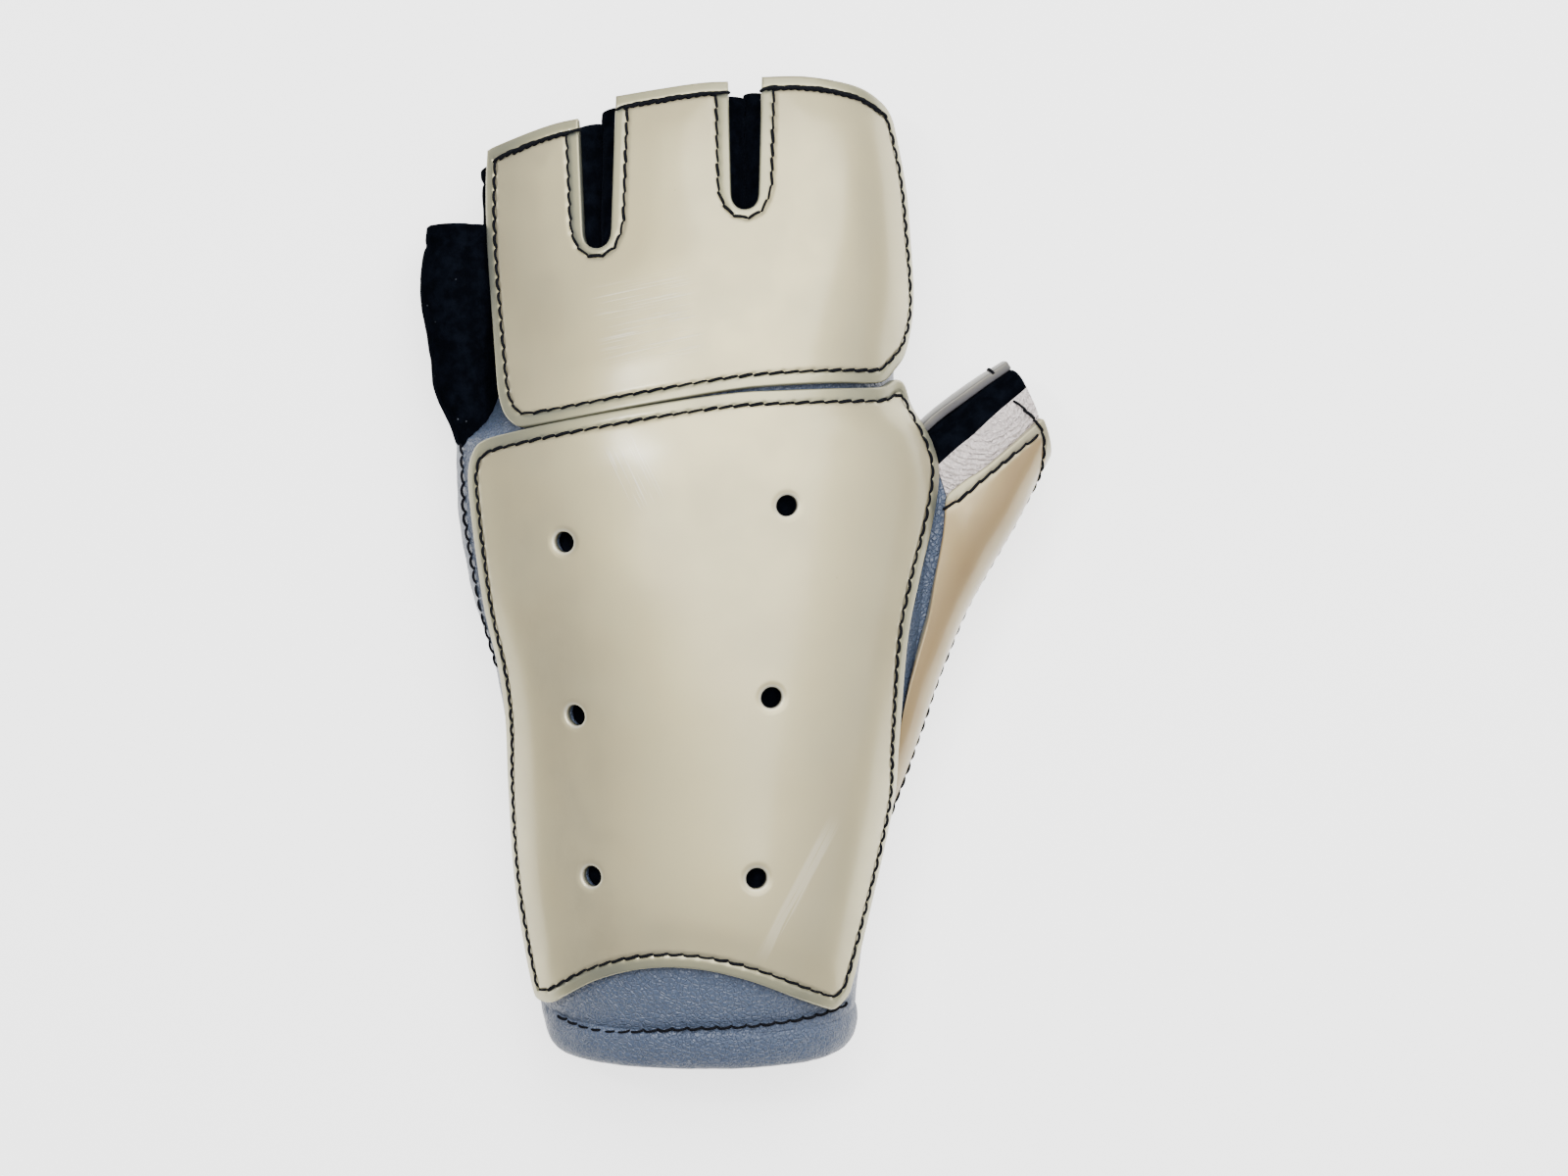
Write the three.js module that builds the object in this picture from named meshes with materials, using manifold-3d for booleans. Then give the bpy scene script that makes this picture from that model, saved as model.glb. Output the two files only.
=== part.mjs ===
import * as THREE from 'three';
import { mergeVertices } from 'three/addons/utils/BufferGeometryUtils.js';
import { TessellateModifier } from 'three/addons/modifiers/TessellateModifier.js';
import Module from 'manifold-3d';

// An open-finger target shooting glove for the left hand, in millimetres.
// It lies palm down: X runs to the thumb, Y to the finger tips and Z up from the table.
// Two curved forms carry every wall: one for the hand with its fingers, one for the thumb.
// A wall is a range of depths below its form, so the layers nest with an even gap.

const wasm = await Module();
wasm.setup();

// Layers, as depths below a form.
const GAP = 0.3;
const SHEET = 2.2;
const LEATHER = 1.3;
const CLOTH = 1.2;
const LEATHER_OUTSIDE = SHEET + GAP;
const LEATHER_INSIDE = LEATHER_OUTSIDE + LEATHER;
const CLOTH_INSIDE = LEATHER_OUTSIDE + CLOTH;
const LINER_OUTSIDE = LEATHER_INSIDE + GAP;
const LINER_INSIDE = LINER_OUTSIDE + CLOTH;

// The hand form's cross-sections. left, ridge and right are X places, and the others are heights.
// body is the left side of the leather, where the stiff sheet above it reaches further out.
const HAND_COLUMNS = ['y', 'left', 'body', 'ridge', 'right', 'middle', 'top', 'bottom'];
const HAND_ROWS = [
  [-118, -45.5, -45.5, -7, 29, 13, 33, -3],
  [-106, -47, -47, -5.5, 31, 14, 38, -3],
  [-95, -50, -50, -4, 32, 14, 42, -3],
  [-75, -53, -53, -3, 35, 14, 44.5, -3],
  [-50, -55, -55, -3, 40, 13, 45.5, -3],
  [-25, -59, -59, -3, 46, 12.5, 46.5, -3],
  [0, -66, -66, -3, 51, 12, 47, -3],
  [20, -69, -69, -2, 52.5, 12, 47, -3],
  [32, -69.5, -69, -1, 50.1, 12, 46.5, -3],
  [42, -67.5, -60, 1.5, 43.8, 12, 45.5, -3],
  [52, -65.5, -57, 4.5, 43, 12, 44.5, -3],
  [70, -64, -57, 9.5, 44, 12, 42.5, -2.5],
  [81, -64, -57.2, 11.5, 43.7, 12, 40.5, -1.7],
  [88, -64, -62.5, 12, 43, 12, 39, -1],
  [100, -64, -63, 12.5, 41, 12.5, 36, 0.5],
  [118, -64, -61.5, 13, 37.5, 13.5, 29.5, 2.5],
];
const HAND_ROUNDNESS = { left: 2, right: 2.2, palm: 2.6 };

// The thumb form's cross-sections, from the open tip to the root inside the hand.
// web and outer are the two side places of a section, low and high its heights.
const THUMB_COLUMNS = ['station', 'webX', 'webY', 'outerX', 'outerY', 'low', 'high'];
const THUMB_ROWS = [
  [0, 63.2, 50.9, 74.9, 28.3, 3, 28],
  [1, 57.4, 47.2, 71.2, 21.4, 2, 29],
  [2, 51.4, 43, 65.9, 11.4, 1, 30],
  [3, 45.6, 38.4, 59.8, 0.9, 0, 30],
  [4, 39.7, 32.3, 54, -10.1, 0, 29],
  [5, 33.9, 24.2, 48, -25.4, 0, 28],
  [6, 28.6, 12.5, 43.2, -39.9, 0, 27.5],
  [7, 23.4, -2.6, 38.4, -53.8, 0, 27],
  [8, 20, -21.2, 33.6, -66, 0, 26],
];
const THUMB_ROUNDNESS = 2.3;
const THUMB_RIM_BOW = { reach: 2.5, stations: 2 };
// How many stations the thumb's hollow runs out past the rim.
const THUMB_MOUTH = 0.5;

// The little finger's tube, upright ellipses from inside the hand to the open end.
const LITTLE_COLUMNS = ['y', 'left', 'right', 'low', 'high'];
const LITTLE_ROWS = [
  [24, -63.5, -53, 4, 20],
  [36, -68.2, -55.5, 1, 24],
  [46, -72.3, -57, 1, 25],
  [56, -73.4, -57.2, 1, 25.5],
  [66, -75, -57.2, 1, 25.5],
  [82.5, -73.2, -57, 2.5, 25],
];
const LITTLE_ROUNDNESS = 2.2;

// Lengths along the hand.
const FINGER_SEAM_Y = 52;
const CUFF = { side: -108.5, backDrop: 7.3, palmDrop: 8, squareness: 0.6 };
const HEM = { width: 10, thickness: 3, roundness: 3 };
const LINER_FIELD = { low: -82, high: 31, from: 33, to: 148 };

// Angles round the hand in degrees: 0 at the thumb side, 90 on the ridge, 270 on the palm.
const ANGLES = { thumbSeam: 4, outerSeam: 160, palmSeam: 222, seamGap: 1.5 };

// The walls between the finger sleeves.
// left and right are the cell's sides, or null where the hand form bounds it.
// A sleeve ends on a slant through two X, Y places.
const FINGER_CELLS = [
  { name: 'ring_sleeve', left: null, right: -30.8, end: [[-59, 97], [-31, 106]] },
  { name: 'middle_sleeve', left: -30.4, right: 2.3, end: [[-30, 109], [2, 112]] },
  { name: 'index_sleeve', left: 2.7, right: null, end: [[3, 113], [37, 106.5]] },
];
const CELL_ROUNDNESS = { base: 4.5, tip: 2.8 };
const CELL_HEADROOM = 0.5;

// Runs of the sheets' plan outlines, as X, Y places. Each run is one smooth curve.
// The seam line lies midway between the finger sheet and the hand sheet.
const PANEL_SEAM = [[-54, 33], [-39, 35.8], [-16, 39.7], [1, 42.2], [12, 43], [24, 43.7], [34, 44.2]];
const PANEL_SEAM_GAP = 0.8;
const FINGER_OUTLINE = {
  outer: [[-58.2, 100.4], [-58.5, 90], [-57.7, 74.6], [-55.1, 50.8], [-54, 41.8], [-52.4, 37]],
  seamStart: [-50, 34.8],
  seamEnd: [35.9, 45.6],
  thumbSide: [[38.2, 48.6], [40.5, 52.5], [42.4, 64], [41.5, 81], [40.4, 93], [37.6, 107.5]],
  indexTab: [[36, 110.5], [31, 113.8], [25, 115.4], [16, 116.5], [6.6, 116.3]],
  middleTab: [[-1.2, 115.2], [-9, 114.8], [-27.4, 112]],
  ringTab: [[-36.2, 106.8], [-43, 105.5], [-57, 101]],
};
const FINGER_SLOTS = {
  ring: { left: -34.7, right: -28.1, end: 75.5 },
  index: { left: -0.4, right: 6, end: 84 },
};
const HAND_OUTLINE = {
  thumbSide: [
    [37.8, 46.2], [40, 45.6], [41.7, 40.3], [46.6, 31.5], [48.2, 24], [46.6, 12.8], [43.3, -1],
    [40.6, -15], [38.8, -38.5], [37.5, -54], [30.4, -85], [27.2, -97.5],
  ],
  cuff: [
    [23.6, -100.8], [16.6, -97.7], [4.6, -92.6], [-7.3, -89.7], [-19.4, -89.6], [-31.7, -93], [-42.7, -99.7],
  ],
  outer: [
    [-46.8, -99.4], [-49.3, -87.2], [-51.9, -70], [-53.2, -50], [-53.6, -33], [-55.2, -21],
    [-58.5, -6.5], [-61.6, 17], [-61.9, 26], [-59.8, 31],
  ],
  seamStart: [-57.5, 32],
  seamEnd: [36.4, 44.6],
};
const VENTS = [[-38.6, 7.9], [12.5, 16.1], [-36.1, -31.8], [9, -27.5], [-32.4, -68.7], [5.6, -68.7]];
const VENT_DIAMETER = { sheet: 4.8, leather: 5.6 };

// Outlines on the thumb: station along it and angle round it, 90 on top and 180 outside.
const THUMB_PANEL = [
  [0, 110], [1.1, 101], [2, 93], [3.4, 84.5], [3.9, 97], [4.4, 107], [4.9, 117], [6.1, 124], [6.7, 134],
  [7.3, 146], [7.4, 165], [6.9, 188], [6, 198], [4, 225], [3, 240], [1.5, 248], [0, 250],
];
const THUMB_INNER_PANEL = [
  [0, 30], [1.5, 26], [3, 21], [4.6, 24], [4.6, -60], [3, -70], [1.5, -75], [0, -75],
];
// The top seam leans towards the web by an angle for each station, over the first few stations.
const THUMB_SEAMS = { top: 76.5, under: 254.5, gap: 0.7, lean: 4.2, leanStations: 4 };
// The gusset covers the thumb's root on top, from a station onwards and between two angles.
const THUMB_GUSSET = { station: 3.45, from: 40, to: 150 };
// What a cutting tool clears beyond the piece that it makes room for: stations, degrees and depth.
const ROOM = { stations: 0.04, degrees: 1, depth: 1 };

// Mesh steps: rows along the hand, degrees between facets, sides of loops and the patterns' finest edges.
const MESH_ROWS = [-116, -98, -82, -64, -46, -28, -10, 8, 20, 31, 37, 43, 52, 64, 75, 82, 88, 99, 109, 118];
const ROW_ROOM = 2;
const ANGLE_STEP = 11;
const THUMB_ANGLE_STEP = 18;
const SLEEVE_SIDES = 18;
const SLEEVE_SHARES = [0, 0.22, 0.42, 0.56, 0.68, 0.84, 1];
const LITTLE_STEPS = 5;
const FORM_SIDES = 72;
const VENT_SIDES = 10;
const HEM_SIDES = 10;
const SHEET_STEP = 12;
const THUMB_SHEET_STEP = 8.5;
const SPLITS = 12;
const CURVE_PARTS = 2;

// A pattern is the form laid flat: its width is an angle times a radius.
const PATTERN_RADIUS = 60;
const THUMB_PATTERN = { along: 12, round: 17 };
const LENGTHWISE_STRETCH = 0.5;
const WIDEST_SHARE = 0.999;
// The field that a hand sheet is cut from, as degrees and Y places, and how far its cutter stands proud.
const SHEET_FIELD = { from: 10, to: 170, cuff: -104, tab: 52, seam: 31, tips: 118 };
const CUTTER_MARGIN = 0.9;

const DEGREE = Math.PI / 180;
// Small steps along a form, and the passes that bring a point to an exact place.
const NUDGE = { angle: 0.02, y: 0.5, station: 0.05, passes: 3 };
const SAME_POINT = 1e-4;
const SHORTEST_EDGE = 0.05;
const HAND_FACING = -1;
const THUMB_FACING = 1;

// A smooth curve through a column of a table that never overshoots its values.
function columnCurve(keys, values) {
  const last = keys.length - 1;
  const steps = keys.slice(1).map((key, i) => key - keys[i]);
  const rises = steps.map((step, i) => (values[i + 1] - values[i]) / step);
  const slopes = keys.map((key, i) => {
    if (i === 0) return rises[0];
    if (i === last) return rises[last - 1];
    if (rises[i - 1] * rises[i] <= 0) return 0;
    const before = 2 * steps[i] + steps[i - 1];
    const after = steps[i] + 2 * steps[i - 1];
    return (before + after) / (before / rises[i - 1] + after / rises[i]);
  });
  return (key) => {
    if (key <= keys[0]) return values[0] + slopes[0] * (key - keys[0]);
    if (key >= keys[last]) return values[last] + slopes[last] * (key - keys[last]);
    const i = keys.findIndex((next, index) => index > 0 && key < next) - 1;
    const s = (key - keys[i]) / steps[i];
    const ease = s * s * (3 - 2 * s);
    const leave = s * (1 - s) * (1 - s) * steps[i];
    const arrive = s * s * (s - 1) * steps[i];
    return values[i] * (1 - ease) + values[i + 1] * ease + slopes[i] * leave + slopes[i + 1] * arrive;
  };
}

function tableOf(columns, rows) {
  const keys = rows.map((row) => row[0]);
  const curves = {};
  columns.slice(1).forEach((column, i) => {
    curves[column] = columnCurve(keys, rows.map((row) => row[i + 1]));
  });
  return (key) => Object.fromEntries(Object.entries(curves).map(([column, curve]) => [column, curve(key)]));
}

const handAt = tableOf(HAND_COLUMNS, HAND_ROWS);
const thumbAt = tableOf(THUMB_COLUMNS, THUMB_ROWS);
const littleAt = tableOf(LITTLE_COLUMNS, LITTLE_ROWS);

// The way the thumb points, from its root to its rim.
function thumbAxis() {
  const middle = ([, webX, webY, outerX, outerY]) => new THREE.Vector2(webX + outerX, webY + outerY);
  return middle(THUMB_ROWS[0]).sub(middle(THUMB_ROWS.at(-1))).normalize();
}
const THUMB_AXIS = thumbAxis();

const rounded = (value, roundness) => Math.sign(value) * Math.abs(value) ** (2 / roundness);

// A point on the hand form at an angle and a Y place. leftColumn is left for sheets, body for leather.
function handSurface(angle, y, leftColumn) {
  const row = handAt(y);
  const towards = Math.cos(angle);
  const up = Math.sin(angle);
  const upper = towards < 0 ? HAND_ROUNDNESS.left : HAND_ROUNDNESS.right;
  const roundness = up < 0 ? HAND_ROUNDNESS.palm : upper;
  const half = towards < 0 ? row.ridge - row[leftColumn] : row.right - row.ridge;
  const rise = up < 0 ? row.middle - row.bottom : row.top - row.middle;
  return new THREE.Vector3(
    row.ridge + half * rounded(towards, roundness),
    y,
    row.middle + rise * rounded(up, roundness),
  );
}

function thumbSurface(station, angle) {
  const row = thumbAt(station);
  const side = rounded(Math.cos(angle), THUMB_ROUNDNESS);
  const up = rounded(Math.sin(angle), THUMB_ROUNDNESS);
  const nearRim = Math.max(0, 1 - station / THUMB_RIM_BOW.stations);
  const bow = THUMB_RIM_BOW.reach * nearRim * Math.max(0, Math.sin(angle));
  return new THREE.Vector3(
    (row.webX + row.outerX) / 2 + ((row.webX - row.outerX) / 2) * side + bow * THUMB_AXIS.x,
    (row.webY + row.outerY) / 2 + ((row.webY - row.outerY) / 2) * side + bow * THUMB_AXIS.y,
    (row.low + row.high) / 2 + ((row.high - row.low) / 2) * up,
  );
}

// The point at a depth below a form, where surface(a, b) is the form and facing turns its normal outwards.
function below(surface, a, b, depth, facing, stepA, stepB) {
  const alongA = surface(a + stepA, b).sub(surface(a - stepA, b));
  const alongB = surface(a, b + stepB).sub(surface(a, b - stepB));
  const normal = alongA.cross(alongB).normalize().multiplyScalar(facing);
  return { point: surface(a, b).addScaledVector(normal, -depth), normal };
}

// The palm is flattened where it rests, each layer on the one under it.
function handPoint(angle, y, depth, leftColumn) {
  const surface = (a, b) => handSurface(a, b, leftColumn);
  const { point } = below(surface, angle, y, depth, HAND_FACING, NUDGE.angle, NUDGE.y);
  point.z = Math.max(point.z, depth - LEATHER_OUTSIDE);
  return point;
}

function thumbPoint(station, angle, depth) {
  const { point } = below(thumbSurface, station, angle, depth, THUMB_FACING, NUDGE.station, NUDGE.angle);
  point.z = Math.max(point.z, depth);
  return point;
}

// A point at an exact Y place, for cross-sections that are cut square to the hand.
function handPointAt(angle, y, depth, leftColumn) {
  const surface = (a, b) => handSurface(a, b, leftColumn);
  let start = y;
  for (let pass = 0; pass < NUDGE.passes; pass++) {
    const { normal } = below(surface, angle, start, depth, HAND_FACING, NUDGE.angle, NUDGE.y);
    start = y + depth * normal.y;
  }
  const point = handPoint(angle, start, depth, leftColumn);
  point.y = y;
  return point;
}

// Even steps from one value to another, both included, and a turn's steps without its repeated end.
const spread = (from, to, count) => (
  Array.from({ length: count + 1 }, (_, i) => from + ((to - from) * i) / count)
);
const turnOf = (count) => spread(0, 2 * Math.PI, count).slice(0, -1);

// Every layer breaks at the same angles and rows, so that their facets nest.
function anglesBetween(from, to, step) {
  const first = Math.ceil((from + step / 4) / step);
  const last = Math.floor((to - step / 4) / step);
  const inner = last < first ? [] : spread(first * step, last * step, last - first);
  return [from, ...inner, to].map((angle) => angle * DEGREE);
}

function rowsBetween(low, high) {
  return [low, ...MESH_ROWS.filter((row) => row > low + ROW_ROOM && row < high - ROW_ROOM), high];
}

// Closed loops of points joined into one skin.
// ends is wrap for a ring of loops, fan for flat ends, strip for loops that run out and back.
function loft(loops, ends) {
  const count = loops[0].length;
  const points = loops.flat();
  const faces = [];
  const bands = ends === 'wrap' ? loops.length : loops.length - 1;
  for (let band = 0; band < bands; band++) {
    const low = band * count;
    const high = ((band + 1) % loops.length) * count;
    for (let i = 0; i < count; i++) {
      const j = (i + 1) % count;
      faces.push([low + i, low + j, high + j], [low + i, high + j, high + i]);
    }
  }
  if (ends !== 'wrap') {
    [0, (loops.length - 1) * count].forEach((first, end) => {
      const close = (a, b, c) => faces.push(end ? [a, b, c] : [a, c, b]);
      if (ends === 'fan') {
        const centre = new THREE.Vector3();
        loops[end ? loops.length - 1 : 0].forEach((point) => centre.addScaledVector(point, 1 / count));
        points.push(centre);
        for (let i = 0; i < count; i++) close(first + i, first + ((i + 1) % count), points.length - 1);
        return;
      }
      for (let i = 0; i < count / 2 - 1; i++) {
        const back = count - 1 - i;
        close(first + i, first + i + 1, first + back);
        close(first + i + 1, first + back - 1, first + back);
      }
    });
  }
  const geometry = new THREE.BufferGeometry();
  geometry.setAttribute('position', new THREE.Float32BufferAttribute(points.flatMap((p) => p.toArray()), 3));
  geometry.setIndex(faces.flat());
  return geometry;
}

// A merged closed mesh as a solid that faces outwards.
function solidOf(geometry) {
  const bare = geometry.clone();
  bare.deleteAttribute('normal');
  bare.deleteAttribute('uv');
  const merged = mergeVertices(bare, SAME_POINT);
  const vertProperties = merged.attributes.position.array;
  const triVerts = Uint32Array.from(merged.index.array);
  const solid = new wasm.Manifold(new wasm.Mesh({ numProp: 3, vertProperties, triVerts }));
  if (solid.volume() > 0) return solid;
  const turned = triVerts.map((_, i) => triVerts[i - (i % 3) + [0, 2, 1][i % 3]]);
  return new wasm.Manifold(new wasm.Mesh({ numProp: 3, vertProperties, triVerts: turned }));
}

function meshOf(name, solid, material) {
  const { vertProperties, triVerts } = solid.getMesh();
  const geometry = new THREE.BufferGeometry();
  geometry.setAttribute('position', new THREE.BufferAttribute(vertProperties, 3));
  geometry.setIndex(new THREE.BufferAttribute(triVerts, 1));
  geometry.computeVertexNormals();
  const mesh = new THREE.Mesh(geometry, material);
  mesh.name = name;
  return mesh;
}

// A curved wall over a range of angles and lengths, where place(across, along, depth) gives its points.
function wall(place, acrossList, alongList, outside, inside) {
  const loops = alongList.map((along) => [
    ...acrossList.map((across) => place(across, along, outside)),
    ...[...acrossList].reverse().map((across) => place(across, along, inside)),
  ]);
  return solidOf(loft(loops, 'strip'));
}

// A flat pattern laid on a form, cut square to it.
function drape(outline, holes, step, place, outside, inside) {
  const shape = new THREE.Shape(outline);
  shape.holes = holes.map((hole) => new THREE.Path(hole));
  const flat = new THREE.ExtrudeGeometry(shape, { depth: 1, bevelEnabled: false, steps: 1 });
  flat.scale(1, LENGTHWISE_STRETCH, 1);
  const fine = new TessellateModifier(step, SPLITS).modify(flat);
  fine.scale(1, 1 / LENGTHWISE_STRETCH, 1);
  const position = fine.attributes.position;
  for (let i = 0; i < position.count; i++) {
    const depth = position.getZ(i) > 0.5 ? outside : inside;
    const point = place(position.getX(i), position.getY(i), depth);
    position.setXYZ(i, point.x, point.y, point.z);
  }
  return solidOf(fine);
}

// A sheet cut to an outline from a field with an even mesh.
function handSheet(outline, holes, low, high) {
  const angles = anglesBetween(SHEET_FIELD.from, SHEET_FIELD.to, ANGLE_STEP);
  const place = (angle, y, depth) => handPoint(angle, y, depth, 'left');
  const field = wall(place, angles, rowsBetween(low, high), 0, SHEET);
  const cutter = drape(outline, holes, SHEET_STEP, sheetPlace, -CUTTER_MARGIN, SHEET + CUTTER_MARGIN);
  return field.intersect(cutter);
}

// Plan place to pattern place on the hand, from the ridge out. Places past the form's side stay on it.
function patternOf([x, y]) {
  const row = handAt(y);
  const leftward = x < row.ridge;
  const half = leftward ? row.ridge - row.left : row.right - row.ridge;
  const share = Math.min(Math.abs(x - row.ridge) / half, WIDEST_SHARE);
  const cosine = share ** ((leftward ? HAND_ROUNDNESS.left : HAND_ROUNDNESS.right) / 2);
  const angle = Math.acos(leftward ? -cosine : cosine);
  return new THREE.Vector2(PATTERN_RADIUS * (Math.PI / 2 - angle), y);
}
const sheetPlace = (q, y, depth) => handPoint(Math.PI / 2 - q / PATTERN_RADIUS, y, depth, 'left');

// A smooth run through plan points, added to a path.
function addRun(path, points) {
  path.lineTo(points[0][0], points[0][1]);
  path.splineThru(points.slice(1).map(([x, y]) => new THREE.Vector2(x, y)));
}

// A shape's boundary in pattern places, with its straight stretches divided.
function patternOutline(path, reach) {
  const outline = divided(path.getPoints(CURVE_PARTS), reach).map((point) => patternOf([point.x, point.y]));
  return outline.filter((point, i) => point.distanceTo(outline[(i + 1) % outline.length]) > SHORTEST_EDGE);
}

// A closed run of corners with its long sides divided.
function divided(corners, reach) {
  return corners.flatMap((corner, i) => {
    const next = corners[(i + 1) % corners.length];
    const parts = Math.max(1, Math.round(corner.distanceTo(next) / reach));
    return spread(0, 1, parts).slice(0, -1).map((share) => corner.clone().lerp(next, share));
  });
}

// The sheet over the three fingers, with a slot between each two tabs.
function fingerPanel() {
  const path = new THREE.Path();
  const seam = PANEL_SEAM.slice(1).map(([x, y]) => [x, y + PANEL_SEAM_GAP / 2]);
  path.moveTo(...FINGER_OUTLINE.outer[0]);
  addRun(path, FINGER_OUTLINE.outer);
  addRun(path, [FINGER_OUTLINE.seamStart, ...seam, FINGER_OUTLINE.seamEnd]);
  addRun(path, FINGER_OUTLINE.thumbSide);
  addRun(path, FINGER_OUTLINE.indexTab);
  addSlot(path, FINGER_SLOTS.index);
  addRun(path, FINGER_OUTLINE.middleTab);
  addSlot(path, FINGER_SLOTS.ring);
  addRun(path, FINGER_OUTLINE.ringTab);
  return handSheet(patternOutline(path, SHEET_STEP), [], SHEET_FIELD.seam, SHEET_FIELD.tips);
}

// A slot runs down its thumb-side edge, round its end and up the other edge.
function addSlot(path, slot) {
  const radius = (slot.right - slot.left) / 2;
  path.lineTo(slot.right, slot.end + radius);
  path.absarc(slot.left + radius, slot.end + radius, radius, 0, -Math.PI, true);
}

// The sheet over the back of the hand, with six vent holes.
function handPanel() {
  const path = new THREE.Path();
  const seam = PANEL_SEAM.map(([x, y]) => [x, y - PANEL_SEAM_GAP / 2]);
  path.moveTo(...HAND_OUTLINE.thumbSide[0]);
  addRun(path, HAND_OUTLINE.thumbSide);
  addRun(path, HAND_OUTLINE.cuff);
  addRun(path, HAND_OUTLINE.outer);
  addRun(path, [HAND_OUTLINE.seamStart, ...seam, HAND_OUTLINE.seamEnd]);
  const holes = VENTS.map((vent) => ventOutline(vent, VENT_DIAMETER.sheet / 2));
  return handSheet(patternOutline(path, SHEET_STEP), holes, SHEET_FIELD.cuff, SHEET_FIELD.tab);
}

// A round hole's outline in pattern places: the pattern is wider than the form away from the ridge.
function ventOutline(vent, radius) {
  const centre = patternOf(vent);
  const stretch = sheetPlace(centre.x + 1, centre.y, 0).distanceTo(sheetPlace(centre.x, centre.y, 0));
  return turnOf(VENT_SIDES).map((turn) => new THREE.Vector2(
    centre.x + (radius / stretch) * Math.cos(turn),
    centre.y + radius * Math.sin(turn),
  ));
}

// A plug through the leather at a vent, from inside the sheet to the lining.
function ventPlug(vent) {
  const outline = ventOutline(vent, VENT_DIAMETER.leather / 2);
  const loops = [SHEET / 2, LINER_OUTSIDE].map((depth) => outline.map((p) => sheetPlace(p.x, p.y, depth)));
  return solidOf(loft(loops, 'fan'));
}

// The cuff's edge, furthest out at the middle of the back and of the palm.
function cuffEdge(angle) {
  const drop = Math.sin(angle) < 0 ? CUFF.palmDrop : CUFF.backDrop;
  return CUFF.side - drop * Math.abs(Math.sin(angle)) ** CUFF.squareness;
}

// Hand leather between two angles, from near the cuff to the finger seam.
function handLeather(from, to, aboveCuff) {
  const rows = rowsBetween(CUFF.side + HEM.width, FINGER_SEAM_Y);
  const place = (angle, y, depth) => {
    const start = y === rows[0] ? cuffEdge(angle) + aboveCuff : y;
    return handPoint(angle, start, depth, 'body');
  };
  return wall(place, anglesBetween(from, to, ANGLE_STEP), rows, LEATHER_OUTSIDE, LEATHER_INSIDE);
}

// The lining under the vented part of the back.
function handLiner() {
  const angles = anglesBetween(LINER_FIELD.from, LINER_FIELD.to, ANGLE_STEP);
  const rows = rowsBetween(LINER_FIELD.low, LINER_FIELD.high);
  const place = (angle, y, depth) => handPoint(angle, y, depth, 'body');
  return wall(place, angles, rows, LINER_OUTSIDE, LINER_INSIDE);
}

// The rolled hem along the back and outer side of the cuff.
function cuffHem() {
  const [halfWidth, halfDepth] = [HEM.width / 2, HEM.thickness / 2];
  const angles = anglesBetween(ANGLES.thumbSeam, ANGLES.palmSeam, ANGLE_STEP);
  const loops = angles.map((angle) => turnOf(HEM_SIDES).map((turn) => {
    const y = cuffEdge(angle) + halfWidth + halfWidth * rounded(Math.cos(turn), HEM.roundness);
    const depth = LEATHER_OUTSIDE + halfDepth + halfDepth * rounded(Math.sin(turn), HEM.roundness);
    return handPoint(angle, y, depth, 'body');
  }));
  return solidOf(loft(loops, 'fan'));
}

// A solid of the hand form at a depth, for cutting what joins it.
function handSolid(depth, from, to) {
  const angles = anglesBetween(0, 360, ANGLE_STEP).slice(0, -1);
  const loops = rowsBetween(from, to).map((y) => angles.map((angle) => handPointAt(angle, y, depth, 'body')));
  return solidOf(loft(loops, 'fan'));
}

// How far a loop of points reaches from a centre along a direction, in an XZ section.
function reachOf(loop, centre, angle) {
  const dx = Math.cos(angle);
  const dz = Math.sin(angle);
  let reach = Infinity;
  loop.forEach((start, i) => {
    const end = loop[(i + 1) % loop.length];
    const ex = end.x - start.x;
    const ez = end.z - start.z;
    const cross = dx * ez - dz * ex;
    if (cross === 0) return;
    const sx = start.x - centre.x;
    const sz = start.z - centre.z;
    const along = (sx * ez - sz * ex) / cross;
    const share = (sx * dz - sz * dx) / cross;
    if (along > 0 && share >= -SAME_POINT && share <= 1 + SAME_POINT) reach = Math.min(reach, along);
  });
  return reach;
}

// A finger sleeve's own rounded cell at a Y place, kept inside the hand form, as points by angle.
function sleeveSection(cell, y, inset) {
  const form = turnOf(FORM_SIDES).map((angle) => handPointAt(angle, y, LEATHER_OUTSIDE + inset, 'body'));
  const left = cell.left ?? Math.min(...form.map((p) => p.x)) - CELL_HEADROOM;
  const right = cell.right ?? Math.max(...form.map((p) => p.x)) + CELL_HEADROOM;
  const heights = form.filter((p) => p.x > left && p.x < right).map((p) => p.z);
  const high = Math.max(...heights) + CELL_HEADROOM;
  const low = Math.min(...heights) - CELL_HEADROOM;
  const centre = new THREE.Vector3((left + right) / 2, y, (low + high) / 2);
  const share = (y - FINGER_SEAM_Y) / (cell.end[1][1] - FINGER_SEAM_Y);
  const roundness = CELL_ROUNDNESS.base + (CELL_ROUNDNESS.tip - CELL_ROUNDNESS.base) * share;
  const wallAt = (angle) => new THREE.Vector3(
    centre.x + ((right - left) / 2 - inset) * rounded(Math.cos(angle), roundness),
    y,
    centre.z + ((high - low) / 2) * rounded(Math.sin(angle), roundness),
  );
  const cellLoop = turnOf(FORM_SIDES).map(wallAt);
  return (angle) => {
    const reach = Math.min(reachOf(cellLoop, centre, angle), reachOf(form, centre, angle));
    return new THREE.Vector3(centre.x + reach * Math.cos(angle), y, centre.z + reach * Math.sin(angle));
  };
}

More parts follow.
